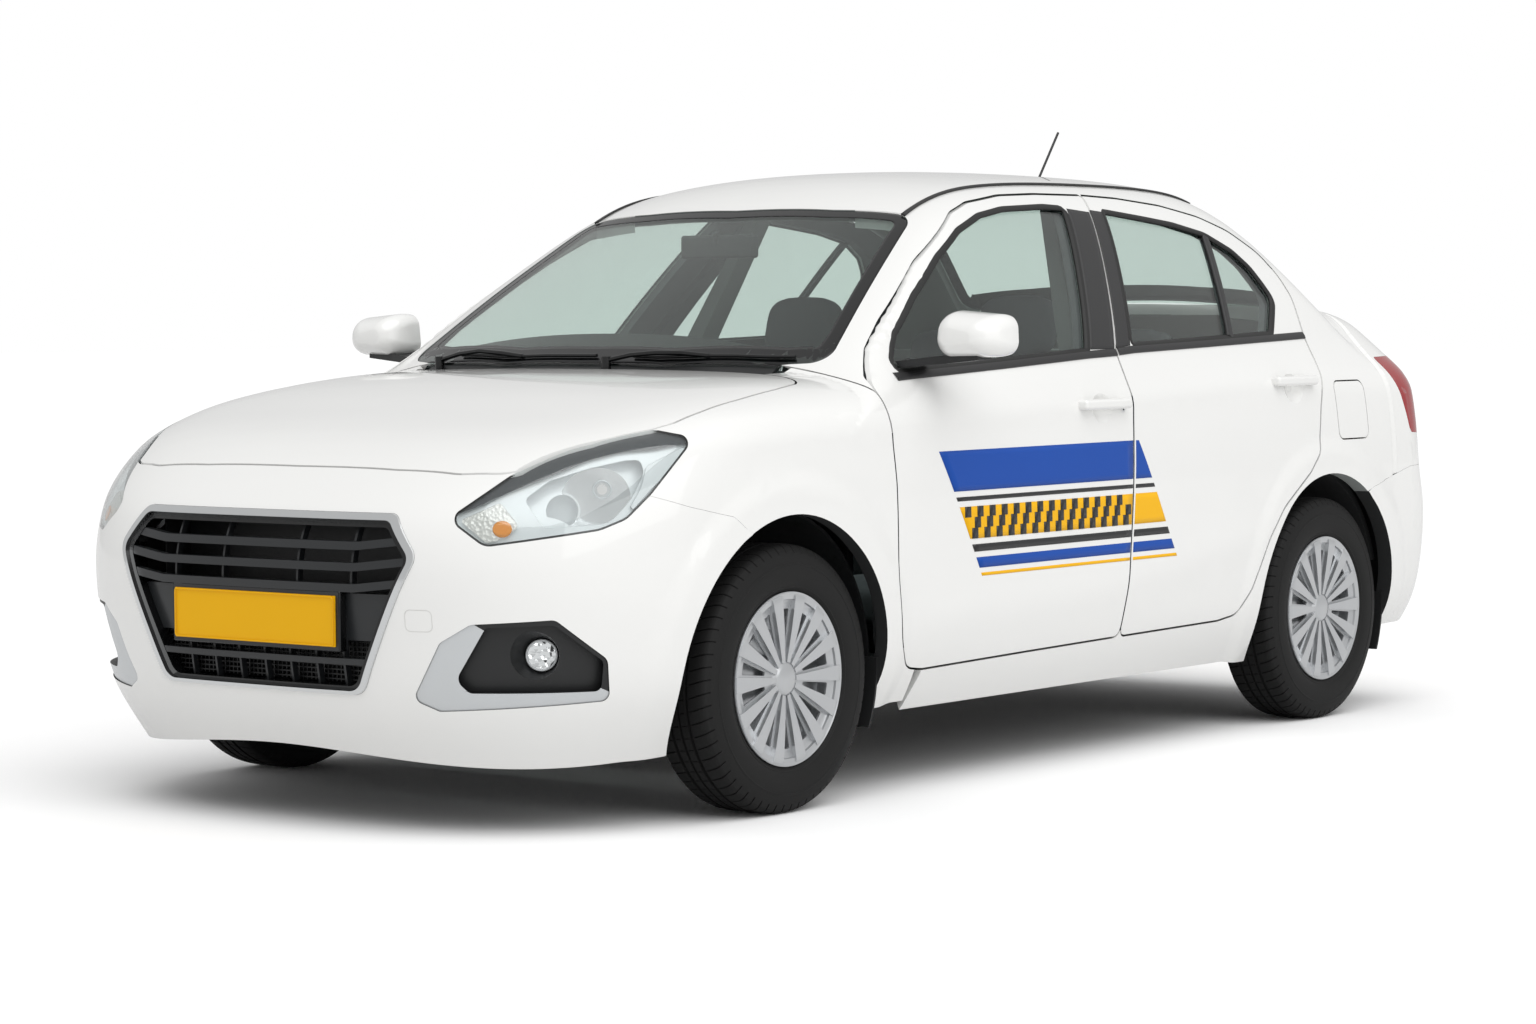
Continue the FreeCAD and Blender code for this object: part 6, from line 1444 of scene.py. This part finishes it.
def studio():
    """White to the camera and through glass, a plain level to everything else, and the floor."""
    scene = bpy.context.scene
    scene.view_settings.view_transform = "Standard"
    world = bpy.data.worlds.new("studio")
    scene.world = world
    world.use_nodes = True
    tree = world.node_tree
    path = put(tree, "LightPath")
    rays = {0: path.outputs["Is Camera Ray"], 1: path.outputs["Is Transmission Ray"]}
    seen = put(tree, "Math", rays, operation="MAXIMUM")
    plain_light = tree.nodes["Background"]
    plain_light.inputs["Color"].default_value = (1, 1, 1, 1)
    plain_light.inputs["Strength"].default_value = ROOM_LIGHT
    shown = put(tree, "Background", {"Color": (1, 1, 1, 1), "Strength": 1.0})
    mix = put(tree, "MixShader", {0: seen.outputs[0], 1: plain_light.outputs[0], 2: shown.outputs[0]})
    tree.links.new(mix.outputs[0], tree.nodes["World Output"].inputs["Surface"])
    mesh = mesh_of("floor", np.array(FLOOR_CORNERS), np.array([[0, 1, 2, 3]]))
    mesh.materials.append(floor_finish())
    floor = bpy.data.objects.new("floor", mesh)
    scene.collection.objects.link(floor)
    return floor


def floor_finish():
    """Pale floor: camera rays see it at full white where nothing shades it."""
    mat = bpy.data.materials.new("studio floor paper")
    mat.use_nodes = True
    tree = mat.node_tree
    direct = put(tree, "LightPath").outputs["Is Camera Ray"]
    tone = put(tree, "MapRange", {"Value": direct, "To Min": FLOOR_SHADE, "To Max": 1.0})
    shader = put(tree, "BsdfDiffuse", {"Color": tone.outputs[0]})
    tree.links.new(shader.outputs[0], tree.nodes["Material Output"].inputs["Surface"])
    tree.nodes.remove(tree.nodes["Principled BSDF"])
    return mat


FLOOR_CORNERS = [(-80.0, -80.0, 0.0), (80.0, -80.0, 0.0), (80.0, 80.0, 0.0), (-80.0, 80.0, 0.0)]
floor = studio()
print("floor", floor.name, "at height", FLOOR_CORNERS[0][2])


# %% Lights
def lamp(name, kind, place, aim, energy, **settings):
    """A light that looks from its place towards a point."""
    light = bpy.data.lights.new(name, kind)
    light.energy = energy
    for key, value in settings.items():
        setattr(light, key, value)
    obj = bpy.data.objects.new(name, light)
    bpy.context.scene.collection.objects.link(obj)
    obj.location = place
    obj.rotation_mode = "QUATERNION"
    obj.rotation_quaternion = (Vector(place) - Vector(aim)).to_track_quat("Z", "Y")
    return obj


lamp("overhead", "SUN", (1.5, 2.6, 5.0), (0, 0, 0), 1.62, angle=math.radians(65))
lamp("left_wall", "AREA", (1.5, 7.0, 2.6), (0, 0, 0.6), 50, shape="RECTANGLE", size=7.0, size_y=2.4)
print(len(bpy.data.lights), "lights")

# %% Camera
camera = bpy.data.objects.new("camera", bpy.data.cameras.new("camera"))
bpy.context.scene.collection.objects.link(camera)
bpy.context.scene.camera = camera
eye, aim = Vector((7.900, 6.031, 1.144)), Vector((0.1167, 0.0, 0.6177))
camera.location = eye
camera.rotation_mode = "QUATERNION"
turn = (eye - aim).to_track_quat("Z", "Y")
camera.rotation_quaternion = turn @ Quaternion((0, 0, 1), math.radians(-0.353))
camera.data.lens, camera.data.sensor_width = 88.36, 36.0
camera.data.clip_end = 200.0
print("camera", round((eye - aim).length, 2), "m from what it looks at")
